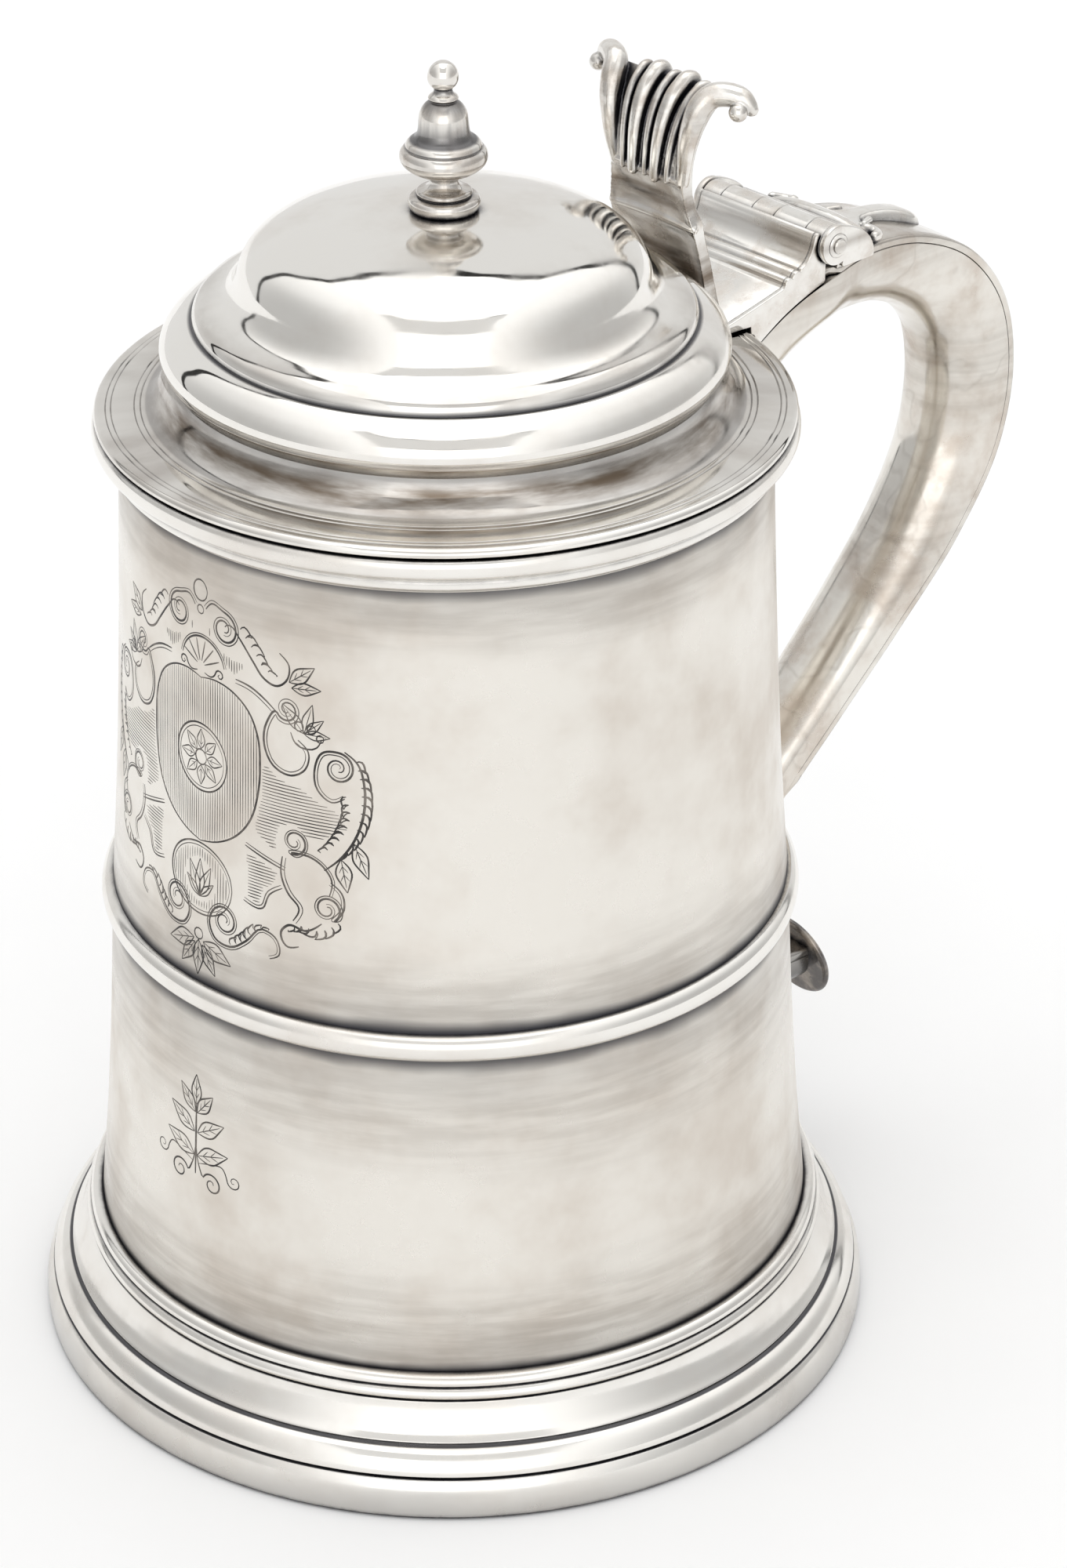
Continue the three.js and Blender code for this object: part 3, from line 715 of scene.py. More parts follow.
KNUCKLES = (
    "lid_knuckle_far", "lid_knuckle_middle", "lid_knuckle_near",
    "handle_knuckle_far", "handle_knuckle_near",
)
PIN_RADIUS, PIN_BORE = 1.2, 1.25
KNUCKLE_REACH = 0.07  # each knuckle is this much longer at each end than its CAD solid


def make_hinge():
    for name in KNUCKLES:
        low, high = box_mm(name)
        radius = (high[2] - low[2]) / 2
        shape = round_bar(low[1] - KNUCKLE_REACH, high[1] + KNUCKLE_REACH, radius, PIN_BORE)
        sharpen_flats(make(name.replace("knuckle", "barrel"), shape, HINGE_SILVER, [name]))
    low, high = box_mm("hinge_pin")
    pin = round_bar(low[1], high[1], PIN_RADIUS)
    sharpen_flats(make("hinge_pin_bar", pin, HINGE_SILVER, ["hinge_pin"]))


CHEEK_IN, CHEEK_OUT = 13.1, 14.2
RIVET_RADIUS, RIVET_SINK, RIVET_RISE = 1.95, 0.1, 0.28
BARREL_ROOM = 3.2  # nothing on the lid but its knuckles comes nearer to the hinge's axis


def hinge_arc(start, end, radius, steps=12):
    """Points round the hinge's axis, from one angle to another in degrees."""
    angles = np.radians(np.linspace(start, end, steps))
    return [(HINGE[0] + radius * math.cos(a), HINGE[2] + radius * math.sin(a)) for a in angles]


def make_cheeks():
    edge = np.vstack([
        hinge_arc(62, 292, 3.25, 24),
        outline([
            (69.1, 161.6), (69.3, 161.1, 0.2), (76.2, 161.1, 0.5), (76, 163), (74.9, 164.9), (73, 166.4),
            (71.2, 167.3), (69.9, 167.8),
        ]),
    ])
    for side, sign in (("near", -1), ("far", 1)):
        ends = sorted((sign * CHEEK_IN, sign * CHEEK_OUT))
        plate = slab(edge, *ends, 0.25)
        ends = sorted((sign * (CHEEK_OUT - RIVET_SINK), sign * (CHEEK_OUT + RIVET_RISE)))
        rivet = round_bar(*ends, RIVET_RADIUS)
        shape = together(plate, rivet)
        sharpen_flats(make(f"cheek_{side}", shape, HINGE_SILVER, [f"hinge_cheek_{side}"]), 40)


def make_plate():
    """Lid's half of the hinge: flat panel, step, two ridges and the hollow panel that leans back."""
    arc = hinge_arc(249, 143, BARREL_ROOM, 12)
    upper = [
        (65.25, 167.3), (64.95, 167.35), (64.5, 167), (64.2, 166.2), (63.85, 165.1), (63.2, 163.9),
        (62.3, 162.95), (61.5, 162.5, 0.1), (61.3, 162.1, 0.08), (60.9, 162.35), (60.3, 162.25),
        (59.85, 161.85, 0.1), (59.6, 161.4, 0.1), (59.2, 161.65), (58.65, 161.55), (58.25, 161.15),
        (58.05, 160.6, 0.1), (57.6, 160.25, 0.1), (51.5, 158.9), (45, 157.5, 0.2), (45, 156.4, 0.2),
    ]
    under = outline([(58.5, 158.05), (64.6, 160.95, 0.4), (66.6, 161.95)])
    body = np.vstack([under, arc, outline([*upper, (52.3, 156.4, 0.2), (52.4, 155.3)])])
    # Over the handle's edges the plate reaches further down, to the trough and round the lid's rim.
    under = outline([(52.6, 152.75), (58.5, 156.05), (64.6, 158.3), (66.8, 158.95, 0.3), (66.8, 161.8)])
    rim_side = outline([*upper, (50.75, 156.1, 0.1), (50.85, 154.9, 0.1), (51.5, 154.55)])
    skirt = np.vstack([under, arc, rim_side])
    half, lap = CHEEK_IN - 0.25, 1.0
    shapes = [slab(body, -half + lap / 2, half - lap / 2, 0.1)]
    shapes += [slab(skirt, *sorted((sign * (half - lap), sign * half)), 0.1) for sign in (-1, 1)]
    sharpen_flats(make("lid_plate", together(*shapes), HINGE_SILVER, ["lid_hinge_plate"]), 50)


# ------------------------------------------------------------------ handle
# Seam between trough and strip: [x, z, half width, depth of the trough].
HANDLE = [
    (39, 143.4, 12.4, 14), (50.8, 151.2, 12.6, 13.6), (59.8, 156.3, 12.9, 13), (69.5, 159.3, 13, 12.4),
    (80, 159.2, 10.4, 12), (92, 157.2, 9.3, 11.7), (104.2, 151.2, 9.1, 11.7), (112.6, 141, 9, 11.7),
    (115.3, 128, 8.9, 11.4), (113.1, 115.3, 8.6, 10.6), (105.1, 102.2, 8.1, 8.9), (92.1, 88.9, 7.6, 7.1),
    (78.5, 76.4, 7.2, 6.2), (66.4, 64.9, 6.9, 6), (60, 54.5, 6.4, 6.4), (60.3, 44.8, 5.9, 5.9),
    (64, 36.6, 5.5, 5.5), (69.8, 31.9, 5.1, 5.4), (76.6, 30.9, 4.8, 5.4),
]
STRIP, CROWN, SEAM = 1.3, 0.4, 0.07
HANDLE_LINE = smooth_line(HANDLE, 11)


def handle_frames(line):
    """Places, outward directions, half widths and depths along the handle."""
    places = line[:, :2]
    return places, left_of(headings(places)), line[:, 2], line[:, 3]


def room_radius(z):
    """Radius of the drum and its lip, which the handle is fitted to."""
    drum = [(drum_radius(height), height) for height in (7.5, 55, 100)]
    lip = [(48.5, 147.8), (49.7, 148.8), (50.0, 150.2), (51.9, 151.5), (52.2, 152.6)]
    radii, heights = zip(*drum, *lip)
    return np.interp(z, heights, radii)


def fit_to_drum(points):
    """Trims a swept skin, row by row from its upper end, to the surface of the drum and lip."""
    apart = np.hypot(points[..., 0], points[..., 1]) - room_radius(points[..., 2])
    rows = len(points)
    for column in range(points.shape[1]):
        first = next(i for i in range(rows) if apart[i, column] > 0)
        if first > 0:
            share = apart[first, column] / (apart[first, column] - apart[first - 1, column])
            near, far = points[first, column], points[first - 1, column]
            points[:first, column] = near + share * (far - near)
    return points


def sweep_handle(section, line):
    """section(half width, depth) gives [across, out] points at each place along the line."""
    rows = [
        [(p[0] + out * o[0], across, p[1] + out * o[1]) for across, out in section(w, d)]
        for p, o, w, d in zip(*handle_frames(line))
    ]
    return np.array(rows)


def trough_section(half, depth):
    side, ease = 2.0, 0.1
    angles = np.linspace(0, math.pi, 26)
    belly = [(half * math.cos(a), -side - (depth - side) * math.sin(a)) for a in angles]
    edge = [(half - ease, 0), (half, -ease), (half, -1.2)]
    return edge + belly + [(-across, out) for across, out in edge[::-1]]


def strip_section(half, _):
    edge, ease = 0.28, 0.1
    across = np.linspace(half - edge, -half + edge, 13)
    top = [(a, SEAM + STRIP + CROWN * (1 - (a / half) ** 2)) for a in across]
    return [
        (-half + ease, SEAM), (half - ease, SEAM), (half, SEAM + ease), (half, SEAM + STRIP - edge),
        *top, (-half, SEAM + STRIP - edge), (-half, SEAM + ease),
    ]


def tuck_strip(points):
    """Draws the strip's sides in where the lid's hinge plate closes over them."""
    plate_end, length, least = 68.2, 2.2, 0.9
    share = np.clip((points[..., 0] - plate_end) / length, 0, 1)
    points[..., 1] *= least + (1 - least) * share * share * (3 - 2 * share)
    return points


def make_handle():
    trough = grid(fit_to_drum(sweep_handle(trough_section, HANDLE_LINE)))
    sharpen_flats(make("handle_hollow_body", trough, HANDLE_SILVER, ["handle_trough"]), 38)
    strip = grid(fit_to_drum(tuck_strip(sweep_handle(strip_section, HANDLE_LINE))))
    sharpen_flats(make("handle_back", strip, HANDLE_SILVER, ["handle_back_strip"]), 60)


def make_terminal():
    low, high = box_mm("handle_terminal")
    radius = (high[1] - low[1]) / 2
    profile = outline([
        (0, 0), (radius * 0.7, 0.05), (radius - 0.5, 0, 0.2), (radius, 0.5), (radius - 0.3, 1.15),
        (radius - 0.9, 1.3), (radius - 1.4, 0.95, 0.1), (radius * 0.6, 1.4), (radius * 0.35, 1.9),
        (0, 2.2),
    ])
    verts, faces = turned(profile, FINE_SIDES)
    end_x, end_z = 77.4, 28.5
    sin, cos = math.sin(math.radians(75)), math.cos(math.radians(75))
    placed = [(end_x + x * cos + z * sin, y, end_z - x * sin + z * cos) for x, y, z in verts]
    make("handle_end_disc", (placed, faces), TERMINAL_SHADED, ["handle_terminal"])


def strip_top(x):
    """Height of the middle of the strip's back at an x behind the hinge."""
    places, out, _, _ = handle_frames(HANDLE_LINE[20:90])
    back = places + out * (SEAM + STRIP + CROWN)
    return float(np.interp(x, back[:, 0], back[:, 1]))


def make_shoulder():
    """Block under the barrel, and the moulded shoulder plate and drop that run back from it."""
    edge = outline([
        (72, 160.4), (76.9, 160.4, 0.2), (76.9, 163.4, 0.6), (75, 164.8), (72.6, 165, 0.3), (71.3, 163),
        (69.6, 161.7, 0.2), (69.2, 160.4, 0.2), (72, 160.4),
    ])
    block = slab(edge, -CHEEK_IN + 0.1, CHEEK_IN - 0.1, 0.2)
    sharpen_flats(make("hinge_seat", block, HINGE_SILVER, ["hinge_block"]), 45)
    # [x, half width, height above the strip]
    plan = smooth_line([
        (76.2, 12.3, 2.7), (77.3, 12.2, 3.5), (78.6, 11.7, 3.3), (79.8, 10.7, 2.5), (80.7, 9.4, 1.7),
        (81.6, 8, 1.3), (82.6, 6.2, 1.1), (83.8, 4.2, 1.1), (85.2, 2.9, 1.2), (87.5, 2.35, 1.35),
        (90.5, 2.4, 1.6), (93.5, 2.7, 1.85), (96, 2.9, 1.9), (98, 2.7, 1.7), (99.2, 2.1, 1.3),
        (99.9, 1, 0.8),
    ], 4)
    rows = []
    for x, half, height in plan:
        base = strip_top(x)
        lean = (strip_top(x + 0.5) - strip_top(x - 0.5)) * height * 0.5
        row = [(x, -half, base - 0.9), (x, half, base - 0.9)]
        for a in np.linspace(1, -1, 17):
            rise = height * (1 - abs(a) ** 3.2) ** 0.5 - CROWN * (half * a / 10) ** 2
            row.append((x - lean, half * a, base + rise))
        rows.append(row)
    shapes = [grid(np.array(rows))]
    # Curl at each corner of the plate, and bead where the drop begins: [x, y, rise, radius].
    corner_z = strip_top(80.9)
    curl = [(79.4, 11.2, 1.6, 0.8), (80.9, 10.4, 1.1, 0.85), (81.7, 8.9, 0.9, 0.95), (80.9, 8, 1.4, 1)]
    bead = [(84.6, 4.0, 0.5, 0.5), (86.4, 3.3, 0.6, 0.7)]
    for sign in (-1, 1):
        path = [(x, sign * y, corner_z + rise) for x, y, rise, _ in curl]
        shapes.append(tube(path, [row[3] for row in curl]))
        path = [(x, sign * y, strip_top(x) + rise) for x, y, rise, _ in bead]
        shapes.append(tube(path, [row[3] for row in bead]))
    drop = make("hinge_drop_casting", together(*shapes), DROP_SILVER, ["hinge_drop"])
    fuse(drop, 0.2, 3)


def fuse(piece, voxel, smoothing):
    """Melts a piece's overlapping bodies into one skin, as a casting."""
    melt = piece.modifiers.new("melt", "REMESH")
    melt.mode = "VOXEL"
    melt.voxel_size = voxel * MM
    soften = piece.modifiers.new("soften", "SMOOTH")
    soften.factor = 0.5
    soften.iterations = smoothing
    settle(piece)


# ------------------------------------------------------------------ thumbpiece
# From the foot up: [x, z, half width, thickness, hollow of the front face].
THUMB = [
    (46.6, 157.4, 9.7, 2.8, 0.2), (45.9, 160.5, 9.5, 2.6, 0.5), (45.2, 164, 9.3, 2.5, 0.9),
    (44.4, 167.5, 9.2, 2.4, 1), (43.5, 171, 9.1, 2.3, 0.7), (42.9, 173.4, 9, 2.5, 0.1),
    (42.3, 175.6, 8.4, 2.3, 0.9), (41.9, 178, 7.9, 2.3, 0.8), (41.8, 180.2, 7.8, 2.4, 0.1),
    (41.9, 183, 8, 2.2, 0), (42.3, 186, 8.5, 2.1, 0), (43.2, 189, 9.1, 2, 0), (44.7, 191.6, 9.7, 1.8, 0),
    (46.6, 193.2, 10.1, 1.5, 0),
]
LEDGE_Z = 180.0
# Reeds of the fan: [share of the half width, radius at the ledge and at the top, place above the face].
THIN_REED, THICK_REED = (0.45, 0.85, 0.35), (0.8, 1.45, 0.55)
REEDS = [
    (-0.60, *THIN_REED), (-0.30, *THICK_REED), (0.0, *THIN_REED), (0.30, *THICK_REED), (0.60, *THIN_REED),
]
ARM = [
    (41.3, 7, 180.3), (41, 7.7, 183.6), (41, 8.2, 187), (41.5, 8.8, 190.2), (42.5, 9.3, 192.7),
    (43.9, 10.2, 194.2), (45.2, 12.2, 194.7), (46.3, 14.4, 194.2), (46.8, 15.6, 193),
]
ARM_RADII = [1.0, 1.2, 1.45, 1.7, 1.85, 1.9, 1.85, 1.65, 1.2]
ARM_BALL, BALL_RADIUS = (44.8, 14.9, 192.7), 1.45


def reed(picks, share, low, high, lift):
    """Reed up the front at a share of the half width, curling over the top edge."""
    path = []
    for (x, z, half, thick, _), n in picks:
        out = n * (thick / 2 + lift)
        path.append((x + out[0], share * half, z + out[1]))
    x, y, z = path[-1]
    path += [(x + 1.0, y * 1.03, z - 0.1), (x + 1.7, y * 1.03, z - 1.1)]
    rise = np.linspace(0, 1, len(picks))
    radii = [low + (high - low) * min(1, 1.3 * r) for r in rise] + [high * 0.95, high * 0.8]
    return tube(path, radii)


def cross_bar(x, half, radius, height):
    """Bar across the front, its height given as a function of y."""
    ridge = [(x, y, height(y)) for y in np.linspace(-half, half, 7)]
    return tube(ridge, [radius] * len(ridge))


def make_thumbpiece():
    line = smooth_line(THUMB, 7)
    front = left_of(headings(line[:, :2]))
    across = np.linspace(1, -1, 25)
    rows = []
    for (x, z, half, thick, hollow), n in zip(line, front):
        face = [thick / 2 - max(hollow, 0) * (1 - a**4) for a in across]
        front_side = [(x + n[0] * f, half * a, z + n[1] * f) for a, f in zip(across, face)]
        back_x, back_z = (x, z) - n * thick / 2
        rows.append(front_side + [(back_x, half * a * 0.96, back_z) for a in across[::-1]])
    bodies = [grid(np.array(rows))]
    fan = [(row, n) for row, n in zip(line, front) if row[1] >= LEDGE_Z]
    for row in REEDS:
        bodies.append(reed(fan[::4] + [fan[-1]], *row))
    r = BALL_RADIUS
    round_side = [(0, -r), (0.7 * r, -0.7 * r), (r, 0), (0.7 * r, 0.7 * r), (0, r)]
    ball, ball_faces = turned(outline(round_side), 24)
    for sign in (-1, 1):
        bodies.append(tube([(x, sign * y, z) for x, y, z in ARM], ARM_RADII))
        placed = np.array(ball) + [ARM_BALL[0], sign * ARM_BALL[1], ARM_BALL[2]]
        bodies.append((placed.tolist(), ball_faces))
    bodies.append(cross_bar(42.2, 8.6, 0.75, lambda y: 173.4 - 0.004 * y * y))
    bodies.append(cross_bar(41.0, 7.2, 0.7, lambda y: LEDGE_Z + 0.5))
    casting = make("thumbpiece_casting", together(*bodies), CAST_SILVER, ["thumbpiece"])
    fuse(casting, 0.15, 3)


# ------------------------------------------------------------------ engraving
# Drawn as [across, height] on the drum's skin unrolled, across measured from the middle of its
# front. A stroke is its points and its width.
FRONT_ANGLE = math.radians(182)
UNROLLED_RADIUS = 51.0
BAR_SINK, BAR_RISE = 0.06, 0.014
BAR_STEP = 0.45
LINE_WEIGHT = 1.4


def mirrored(strokes):
    return strokes + [([(-u, v) for u, v in line], wide) for line, wide in strokes]


def polar(centre, radius, degrees):
    """Place at a distance and direction from the centre."""
    turn = math.radians(degrees)
    return centre[0] + radius * math.cos(turn), centre[1] + radius * math.sin(turn)


def scroll(centre, radius, start, turns, tail, wide=0.26):
    """Spiral that opens from its centre to its radius, ends at the start angle and runs on as a
    tail."""
    angles = np.linspace(start - 360 * turns, start, int(14 * abs(turns)) + 4)
    sizes = np.linspace(0.12, 1, len(angles)) ** 0.8 * radius
    curl = [polar(centre, r, a) for a, r in zip(angles, sizes)]
    return [(curl + list(tail), wide)]


def leaf(base, tip, bulge, wide=0.2, veins=2):
    """Pointed leaf: two edges, a midrib and slanting veins."""
    base, tip = np.array(base, float), np.array(tip, float)
    along = tip - base
    across = np.array([-along[1], along[0]]) * bulge
    strokes = []
    for sign in (1, -1):
        middle = base + 0.42 * along + sign * across
        shoulder = base + 0.78 * along + sign * 0.45 * across
        strokes.append(([tuple(base), tuple(middle), tuple(shoulder), tuple(tip)], wide))
        for i in range(veins):
            root = base + (0.2 + 0.25 * i) * along
            end = root + 0.2 * along + sign * 0.55 * across
            strokes.append(([tuple(root), tuple(end)], wide * 0.5))
    strokes.append(([tuple(base), tuple(base + 0.85 * along)], wide * 0.6))
    return strokes


def frond(path, size, side, wide=0.2, step=1.5):
    """Ragged leaf edge: short hooked strokes set along a path on one side of it."""
    line = smooth_line(path, 10)
    run = run_lengths(line)
    strokes = []
    for s in np.arange(step, run[-1] - 0.2, step):
        here, back = places_on(line, run, [s, s - step])
        ahead = (here - back) / np.linalg.norm(here - back)
        out = side * np.array([-ahead[1], ahead[0]])
        reach = size * math.sin(math.pi * min(1, 0.15 + s / run[-1] * 0.85)) + 0.25
        tip = here + reach * out + 0.5 * reach * ahead
        belly, heel = back + 0.75 * reach * out, here + 0.5 * reach * out
        strokes.append(([tuple(back + 0.2 * out), tuple(belly), tuple(tip)], wide))
        strokes.append(([tuple(tip), tuple(heel), tuple(here + 0.15 * out)], wide * 0.7))
    return strokes


def doubled(strokes, offset, wide=0.13):
    """The strokes, with a finer line beside each unless the offset is 0."""
    extra = []
    for line, _ in strokes if offset else ():
        smooth = smooth_line(line, 3)
        beside = smooth + offset * left_of(headings(smooth))
        extra.append(([tuple(p) for p in beside[::3]], wide))
    return strokes + extra


def inside(point, outline_points):
    u, v = point
    hit = False
    for (a, b), (c, d) in zip(outline_points, np.roll(outline_points, -1, axis=0)):
        if (b > v) != (d > v) and u < (c - a) * (v - b) / (d - b) + a:
            hit = not hit
    return hit


def hatch(region, spacing, upright, wide, keep_out=None, step=0.3):
    """Fine parallel lines filling a region, upright or level, left out where keep_out says."""
    region = np.array(region)
    low, high = region.min(axis=0), region.max(axis=0)
    cross, along = (0, 1) if upright else (1, 0)
    strokes = []
    for i, c in enumerate(np.arange(low[cross] + spacing / 2, high[cross], spacing)):
        run = []
        for s in np.arange(low[along], high[along] + step, step):
            point = (c, s) if upright else (s, c)
            if inside(point, region) and not (keep_out and keep_out(point)):
                run.append(point)
                continue
            if len(run) > 3:
                uneven = 1 + 0.12 * math.sin(7 * i)
                strokes.append((run[:-1:3] + [run[-1]], wide * uneven))
            run = []
        if len(run) > 3:
            strokes.append((run[:-1:3] + [run[-1]], wide))
    return strokes


def ring(centre, size, wide=0.18, squash=1.0):
    angles = np.linspace(0, 2 * math.pi, 17)
    cx, cy = centre
    return [([(cx + size * math.cos(a), cy + squash * size * math.sin(a)) for a in angles], wide)]


ROSETTE, ROSETTE_SIZE = (0, 114.6), 5.4
SHELL, SHELL_SIZE = (0, 129.2), 4.7
OVAL, OVAL_SIZE = (0, 94.8), 6.6
SPRIG_ROOT, SPRIG_ROOM = (0, 94.6), 3.4
# Right half of the cartouche; the left half is its mirror image.
SHIELD_SIDE = [
    (0, 127.4), (3.2, 127.9), (6.6, 127.2), (9.6, 125), (11.3, 121.4), (11.7, 117), (11.3, 112.2),
    (9.9, 107.6), (7.2, 104.2), (3.6, 102), (0, 101),
]
SIDE_PANEL = [
    (12.2, 118.2), (15, 115.6), (18.6, 115), (21, 113.6), (24.6, 112.2), (26, 109.6), (22.4, 107.6),
    (19.6, 107), (17.6, 108.9), (15.2, 108.4), (14.4, 105.6), (15, 103.2), (10.6, 106.4), (11.8, 111.5),
]
LOWER_PANEL = [
    (9, 102.6), (12, 101.6), (14.8, 100.6), (14.2, 98.6), (12.4, 97.2), (11.8, 94.6), (9.4, 95),
    (9.6, 99),
]
UPPER_PANEL = [
    (1.2, 137.6), (3, 133.4), (7.6, 132.2), (9.8, 132.4), (6.8, 129.8), (5.2, 131.2), (2, 134.4),
]
# [centre, radius, angle it ends at, turns, tail, offset of the finer line beside it]
SCROLLS = [
    ((5.0, 136.6), 2.5, 60, 1.4, [
        (4.6, 139.4), (2.6, 139.9), (1.2, 138.6),
    ], -0.5),
    ((5.0, 136.6), 2.5, 0, -0.2, [
        (8.6, 135.4), (10.6, 133), (12.4, 131), (14.6, 130.3), (16.4, 131.6), (16.8, 134), (15.2, 135.6),
    ], 0),
    ((16.4, 127.0), 1.9, 200, -1.3, [
        (12.9, 124.2), (12.4, 120.8), (14, 117.6), (17, 116.7), (19.4, 118.2), (19.9, 121), (18.2, 122.6),
    ], 0.55),
    ((24.6, 119.2), 2.6, 95, 1.5, [
        (22.2, 121.4), (20.9, 118.6), (21.3, 115.4), (23.6, 113.7), (25.6, 114.6),
    ], 0.5),
    ((17.6, 106.2), 2.1, 250, -1.4, [
        (19.9, 104.4), (22.2, 103.2), (23.6, 101), (23.2, 98.6),
    ], 0.4),
    ((22.8, 96.4), 2.2, 300, -1.4, [
        (25.4, 96.6), (25.2, 99.2), (23.4, 100.8),
    ], 0.45),
    ((5.2, 89.6), 2.3, 120, 1.4, [
        (2.2, 88.6), (3.4, 86.2), (6.4, 85.8), (9.4, 87.8), (12.2, 90.6), (14.6, 89.8), (15.2, 87.2),
        (13.6, 86.2),
    ], -0.45),
]
# [points, width, offset of the finer line beside it]
EDGES = [
    (SHIELD_SIDE, 0.26, 0),
    ([(7.2, 129.4), (10.0, 129.0), (12.8, 127.6), (14.4, 126.4)], 0.24, -0.6),
    ([(25.6, 122.0), (27.6, 120.4), (28.6, 117.0), (28.5, 112.6), (27.2, 108.4), (24.8, 104.8),
      (22.4, 102.6)], 0.3, 0),
    ([(15.6, 103.4), (15.4, 100.4), (16.6, 97.6), (18.4, 95.6), (17.4, 93.4)], 0.24, 0.6),
    ([(22.0, 93.9), (19.4, 92.2), (16.8, 92.6), (15.4, 91.0), (16.4, 89.0), (18.4, 89.4)], 0.28, 0),
    ([(9.0, 103.4), (12.6, 102.2), (16.0, 101.2)], 0.2, 0.5),
    ([(8.8, 94.4), (12.2, 94.0), (13.4, 96.6), (15.6, 98.2)], 0.2, 0.5),
    ([(17.0, 123.6), (17.9, 121.9), (21.2, 121.9), (22.0, 123.2)], 0.2, 0),
]
# [path, size, side, width, step]
FRONDS = [
    ([(8.0, 137.4), (10.4, 134.8), (12.4, 132.4), (14.8, 131.6)], 1.3, 1, 0.2, 1.5),
    ([(27.2, 120.6), (28.0, 116.4), (27.8, 112.0), (26.6, 108.0), (24.4, 104.6)], 1.5, 1, 0.24, 1.35),
    ([(26.0, 115.0), (26.6, 112.0), (25.6, 108.8), (23.2, 106.0), (20.6, 104.6)], 1.3, -1, 0.22, 1.3),
    ([(24.4, 94.6), (21.6, 92.8), (18.6, 93.0), (16.2, 91.6)], 1.2, 1, 0.22, 1.25),
    ([(6.6, 86.0), (9.2, 87.6), (11.6, 90.2), (13.8, 90.6)], 1.1, 1, 0.2, 1.2),
]
# [base, tip, bulge]
LEAVES = [
    ((27.0, 107.6), (29.2, 102.2), 0.2), ((25.0, 104.8), (26.0, 99.6), 0.24),
    ((1.0, 84.6), (6.6, 82.6), 0.24), ((0.8, 84.0), (3.6, 79.8), 0.22),
    ((16.8, 131.4), (21.0, 134.4), 0.22), ((17.2, 130.6), (22.0, 131.0), 0.2),
]
POSY, POSY_TIPS = (19.2, 123.8), [(15.6, 127.8), (20.6, 128.6), (22.4, 126.4), (23.4, 123.8)]
BERRIES = [((18.4, 124.8), 0.75), ((20.4, 124.6), 0.7), ((21.8, 123.4), 0.6)]


def frame_half():
    """Right half of the frame of scrolls, leaves and hatched panels."""
    half = []
    for centre, radius, end, turns, tail, beside in SCROLLS:
        half += doubled(scroll(centre, radius, end, turns, tail), beside)
    for points, wide, beside in EDGES:
        half += doubled([(points, wide)], beside)
    for row in FRONDS:
        half += frond(*row)
    for row in LEAVES:
        half += leaf(*row)
    for tip in POSY_TIPS:
        half += leaf(POSY, tip, 0.18, 0.16, 0)
    for centre, size in BERRIES:
        half += ring(centre, size)
    half += hatch(SIDE_PANEL, 0.52, False, 0.12)
    half += hatch(LOWER_PANEL, 0.5, False, 0.12)
    half += hatch(UPPER_PANEL, 0.5, True, 0.12)
    return half


def shell():
    """Fan of ribs over the shield, with a lobed edge and two curls at its foot."""
    ribs = [
        ([polar(SHELL, 0.9, a), polar(SHELL, 4.3, a)], 0.18) for a in range(25, 156, 26)
    ]
    lobes = []
    for i in range(14):
        size = SHELL_SIZE + 0.35 * math.cos(math.radians(13.85 * i))
        lobes.append(polar(SHELL, size, 12 + 12 * i))
    curls = scroll((4.0, 128.9), 0.9, 180, 1.2, [(2.4, 128.2), (0.8, 128.4)], 0.2)
    return ribs + doubled([(lobes, 0.24)], -0.4) + mirrored(curls)


def rosette():
    strokes = []
    for size, wide in ((ROSETTE_SIZE, 0.24), (ROSETTE_SIZE - 0.6, 0.12), (1.2, 0.2)):
        strokes += ring(ROSETTE, size, wide)
    for degrees in range(0, 360, 45):
        base, tip = polar(ROSETTE, 1.3, degrees), polar(ROSETTE, 4.5, degrees)
        strokes += leaf(base, tip, 0.27, 0.16, 1)
    return strokes


def oval():
    """Hatched oval with a tuft of leaves, and the drop below it."""
    strokes = ring(OVAL, OVAL_SIZE, 0.22, 0.88) + ring(OVAL, OVAL_SIZE - 0.5, 0.11, 0.86)
    angles = np.linspace(0, 2 * math.pi, 24)
    edge = [(5.9 * math.cos(a), OVAL[1] + 5.0 * math.sin(a)) for a in angles]
    strokes += hatch(edge, 0.55, True, 0.1, lambda p: math.dist(p, SPRIG_ROOT) < SPRIG_ROOM)
    for tip in ((0, 98.0), (2.3, 97.2), (-2.3, 97.2), (2.9, 94.6), (-2.9, 94.6)):
        strokes += leaf((0, 91.8), tip, 0.16, 0.17, 0)
    return strokes + ring((0, 85.6), 0.9) + leaf((0, 84.6), (0, 78.8), 0.2)


def cartouche():
    """Plain hatched shield with a rosette, in its frame."""
    shield = SHIELD_SIDE + [(-u, v) for u, v in SHIELD_SIDE[-2:0:-1]]
    strokes = mirrored(frame_half()) + shell() + rosette() + oval()
    strokes += ring((0, 141.2), 1.5, 0.2, 1.1) + ring((0, 138.2), 0.7)
    strokes += hatch(shield, 0.5, True, 0.11, lambda p: math.dist(p, ROSETTE) < ROSETTE_SIZE)
    return strokes


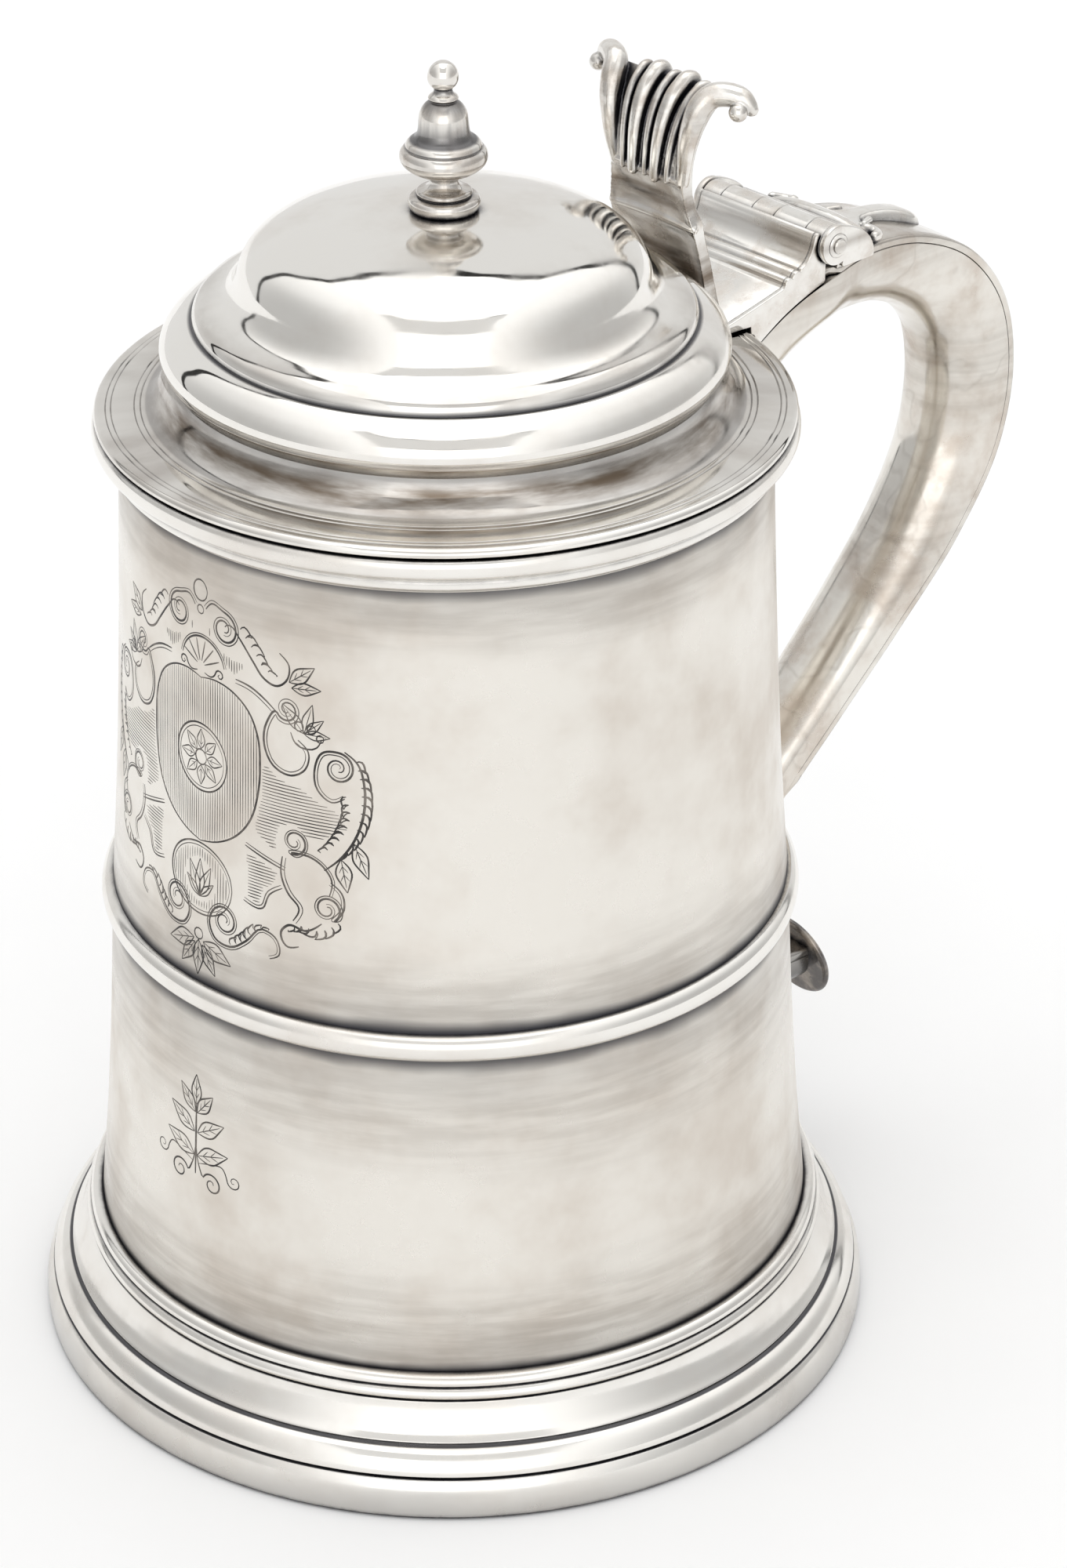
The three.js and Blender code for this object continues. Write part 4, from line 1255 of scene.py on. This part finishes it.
def sprig():
    """Small engraved sprig: a stem with paired leaves that ends in two fine curls."""
    half = []
    for height, tip in ((47.6, (6.4, 49.8)), (51.6, (5.6, 54.8))):
        half += leaf((0.3, height), tip, 0.22)
    half += leaf((0.2, 55.0), (3.4, 59.0), 0.22)
    half += scroll((3.4, 43.8), 1.9, 160, 1.4, [(0.9, 45.6), (0.1, 49.0)], 0.22)
    half += scroll((7.6, 46.0), 1.3, 180, -1.3, [(5.4, 47.6), (3.0, 47.2), (0.6, 46.4)], 0.16)
    stem = ([(0, 44.4), (0, 50.0), (0, 56.4)], 0.28)
    return mirrored(half) + leaf((0, 56.4), (0, 61.6), 0.2) + [stem]


def bar(path, wide):
    """Tapered bar along a path, sunk in the drum's skin and barely proud of it."""
    run = run_lengths(path)
    count = max(3, int(run[-1] / BAR_STEP) + 1)
    spots = np.linspace(0, run[-1], count)
    path = places_on(path, run, spots)
    across = left_of(headings(path))
    swell = 0.3 + 0.7 * np.sin(math.pi * np.linspace(0.02, 0.98, count)) ** 0.5
    edge = 0.3 * BAR_RISE
    section = ((1, -BAR_SINK), (1, edge), (0, BAR_RISE), (-1, edge), (-1, -BAR_SINK))
    rows = []
    for p, out, w in zip(path, across, swell * LINE_WEIGHT * wide / 2):
        corners = []
        for share, rise in section:
            u, z = p + share * w * out
            angle = FRONT_ANGLE + u / UNROLLED_RADIUS
            r = skin_radius(angle, z) + rise
            corners.append((r * math.cos(angle), r * math.sin(angle), z))
        rows.append(corners)
    return grid(np.array(rows))


# Black bars that stand for the engraved cuts: oxide in them and painted shade of the grooves.
def engraved_bars(strokes):
    """The strokes as thin bars."""
    bars = []
    for line, wide in strokes:
        path = smooth_line(line, 4)
        moves = np.linalg.norm(np.diff(path, axis=0), axis=1) > 1e-4
        path = path[np.concatenate([[True], moves])]
        if len(path) > 1:
            bars.append(bar(path, wide))
    return together(*bars)


def make_engraving():
    for name, strokes in (("engraved_cartouche", cartouche()), ("engraved_sprig", sprig())):
        make_on(BODY_OF["body_wall"], name, engraved_bars(strokes), ENGRAVED_SILVER)


for maker in (
    make_drum, make_floor, make_foot, make_band, make_lip, make_lid, make_bezel, make_finial,
    make_hinge, make_cheeks, make_plate, make_handle, make_terminal, make_shoulder, make_thumbpiece,
    make_engraving,
):
    maker()


# ------------------------------------------------------------------ studio
FRONT = (-0.680, -0.733, 0)  # level direction from the tankard towards where it is seen from
RIGHT = (0.733, -0.680, 0)


def make_stage():
    floor_mesh = bpy.data.meshes.new("floor")
    half = 6.0
    corners = [(-half, -half, 0), (half, -half, 0), (half, half, 0), (-half, half, 0)]
    floor_mesh.from_pydata(corners, [], [(0, 1, 2, 3)])
    floor = bpy.data.objects.new("floor", floor_mesh)
    bpy.context.scene.collection.objects.link(floor)
    paper = Shader(bpy.data.materials.new("floor_paper"))
    fleck = paper.noise(paper.add("TexCoord").outputs["Object"], 40.0)
    shade = paper.mix(fleck, (0.96, 0.96, 0.96, 1), (0.98, 0.98, 0.98, 1))
    shader = paper.add("BsdfPrincipled", {"Base Color": shade, "Roughness": 0.8})
    paper.add("OutputMaterial", {"Surface": shader.outputs[0]})
    floor_mesh.materials.append(paper.material)


def make_world():
    """White tent: pale walls that darken to the sides, a brighter strip through the middle, a grey
    sheet with a darker edge high in front, and one with a black edge behind."""
    world = bpy.data.worlds.new("studio")
    bpy.context.scene.world = world
    s = Shader(world)
    generated = s.add("TexCoord").outputs["Generated"]
    direction = s.add("VectorMath", {0: generated}, operation="NORMALIZE").outputs[0]

    def part_along(axis):
        return s.add("VectorMath", {0: direction, 1: axis}, operation="DOT_PRODUCT").outputs["Value"]

    toward, sideways = part_along(FRONT), part_along(RIGHT)
    up = s.add("SeparateXYZ", {0: direction}).outputs["Z"]
    degrees = 180 / math.pi
    wobble = s.stretch(s.noise(direction, 2.5, 2.0), 0.3, 0.7, -2.5, 2.5)
    around = s.product(s.math("ARCTAN2", sideways, toward), degrees)
    above = s.math("ADD", s.product(s.math("ARCSINE", up), degrees), wobble)

    def over(below, mask, value):
        return s.add("Mix", {"Factor": mask, 2: below, 3: value}).outputs[0]

    side = s.math("ABSOLUTE", sideways)
    light = s.stretch(side, 0.38, 0.97, 0.98, 0.46)
    strip = s.stretch(s.math("ADD", side, s.product(wobble, 0.004)), 0.36, 0.375, 1.0, 0.0)
    light = over(light, strip, 1.3)
    front = s.product(s.stretch(toward, 0.12, 0.15), strip)
    for low, high, value in ((41.5, 68.5, 0.35), (43, 67, 0.66)):
        light = over(light, s.product(front, s.window(above, low, high, 0.5)), value)

    # How far each direction lies inside the leaning sides of the paper that hangs behind.
    lean = s.product(above, -0.5)
    inside_left = s.math("SUBTRACT", s.math("SUBTRACT", lean, around), 121)
    inside_right = s.math("SUBTRACT", s.math("ADD", lean, around), 133)
    inside = s.largest(inside_left, inside_right)
    soft = 0.4
    for margin, top, value in ((-4.0, 51.5, 0.03), (0.0, 48.5, 0.66)):
        within = s.stretch(inside, margin - soft, margin + soft)
        below = s.stretch(above, top - soft, top + soft, 1, 0)
        light = over(light, s.product(within, below), value)
    background = s.add("Background", {"Color": (1, 1, 1, 1), "Strength": light})
    s.add("OutputWorld", {"Surface": background.outputs[0]})


def make_camera():
    camera = bpy.data.cameras.new("camera")
    camera.lens = 108
    camera.sensor_width = 36
    camera.clip_start, camera.clip_end = 0.05, 50
    holder = bpy.data.objects.new("camera", camera)
    holder.location = (-0.4475, -0.4737, 0.4405)
    holder.rotation_euler = (math.radians(61.122), 0, math.radians(-42.858))
    bpy.context.scene.collection.objects.link(holder)
    bpy.context.scene.camera = holder


make_stage()
make_world()
make_camera()
bpy.context.scene.view_settings.view_transform = "Standard"
bpy.context.scene.view_settings.exposure = 0.34
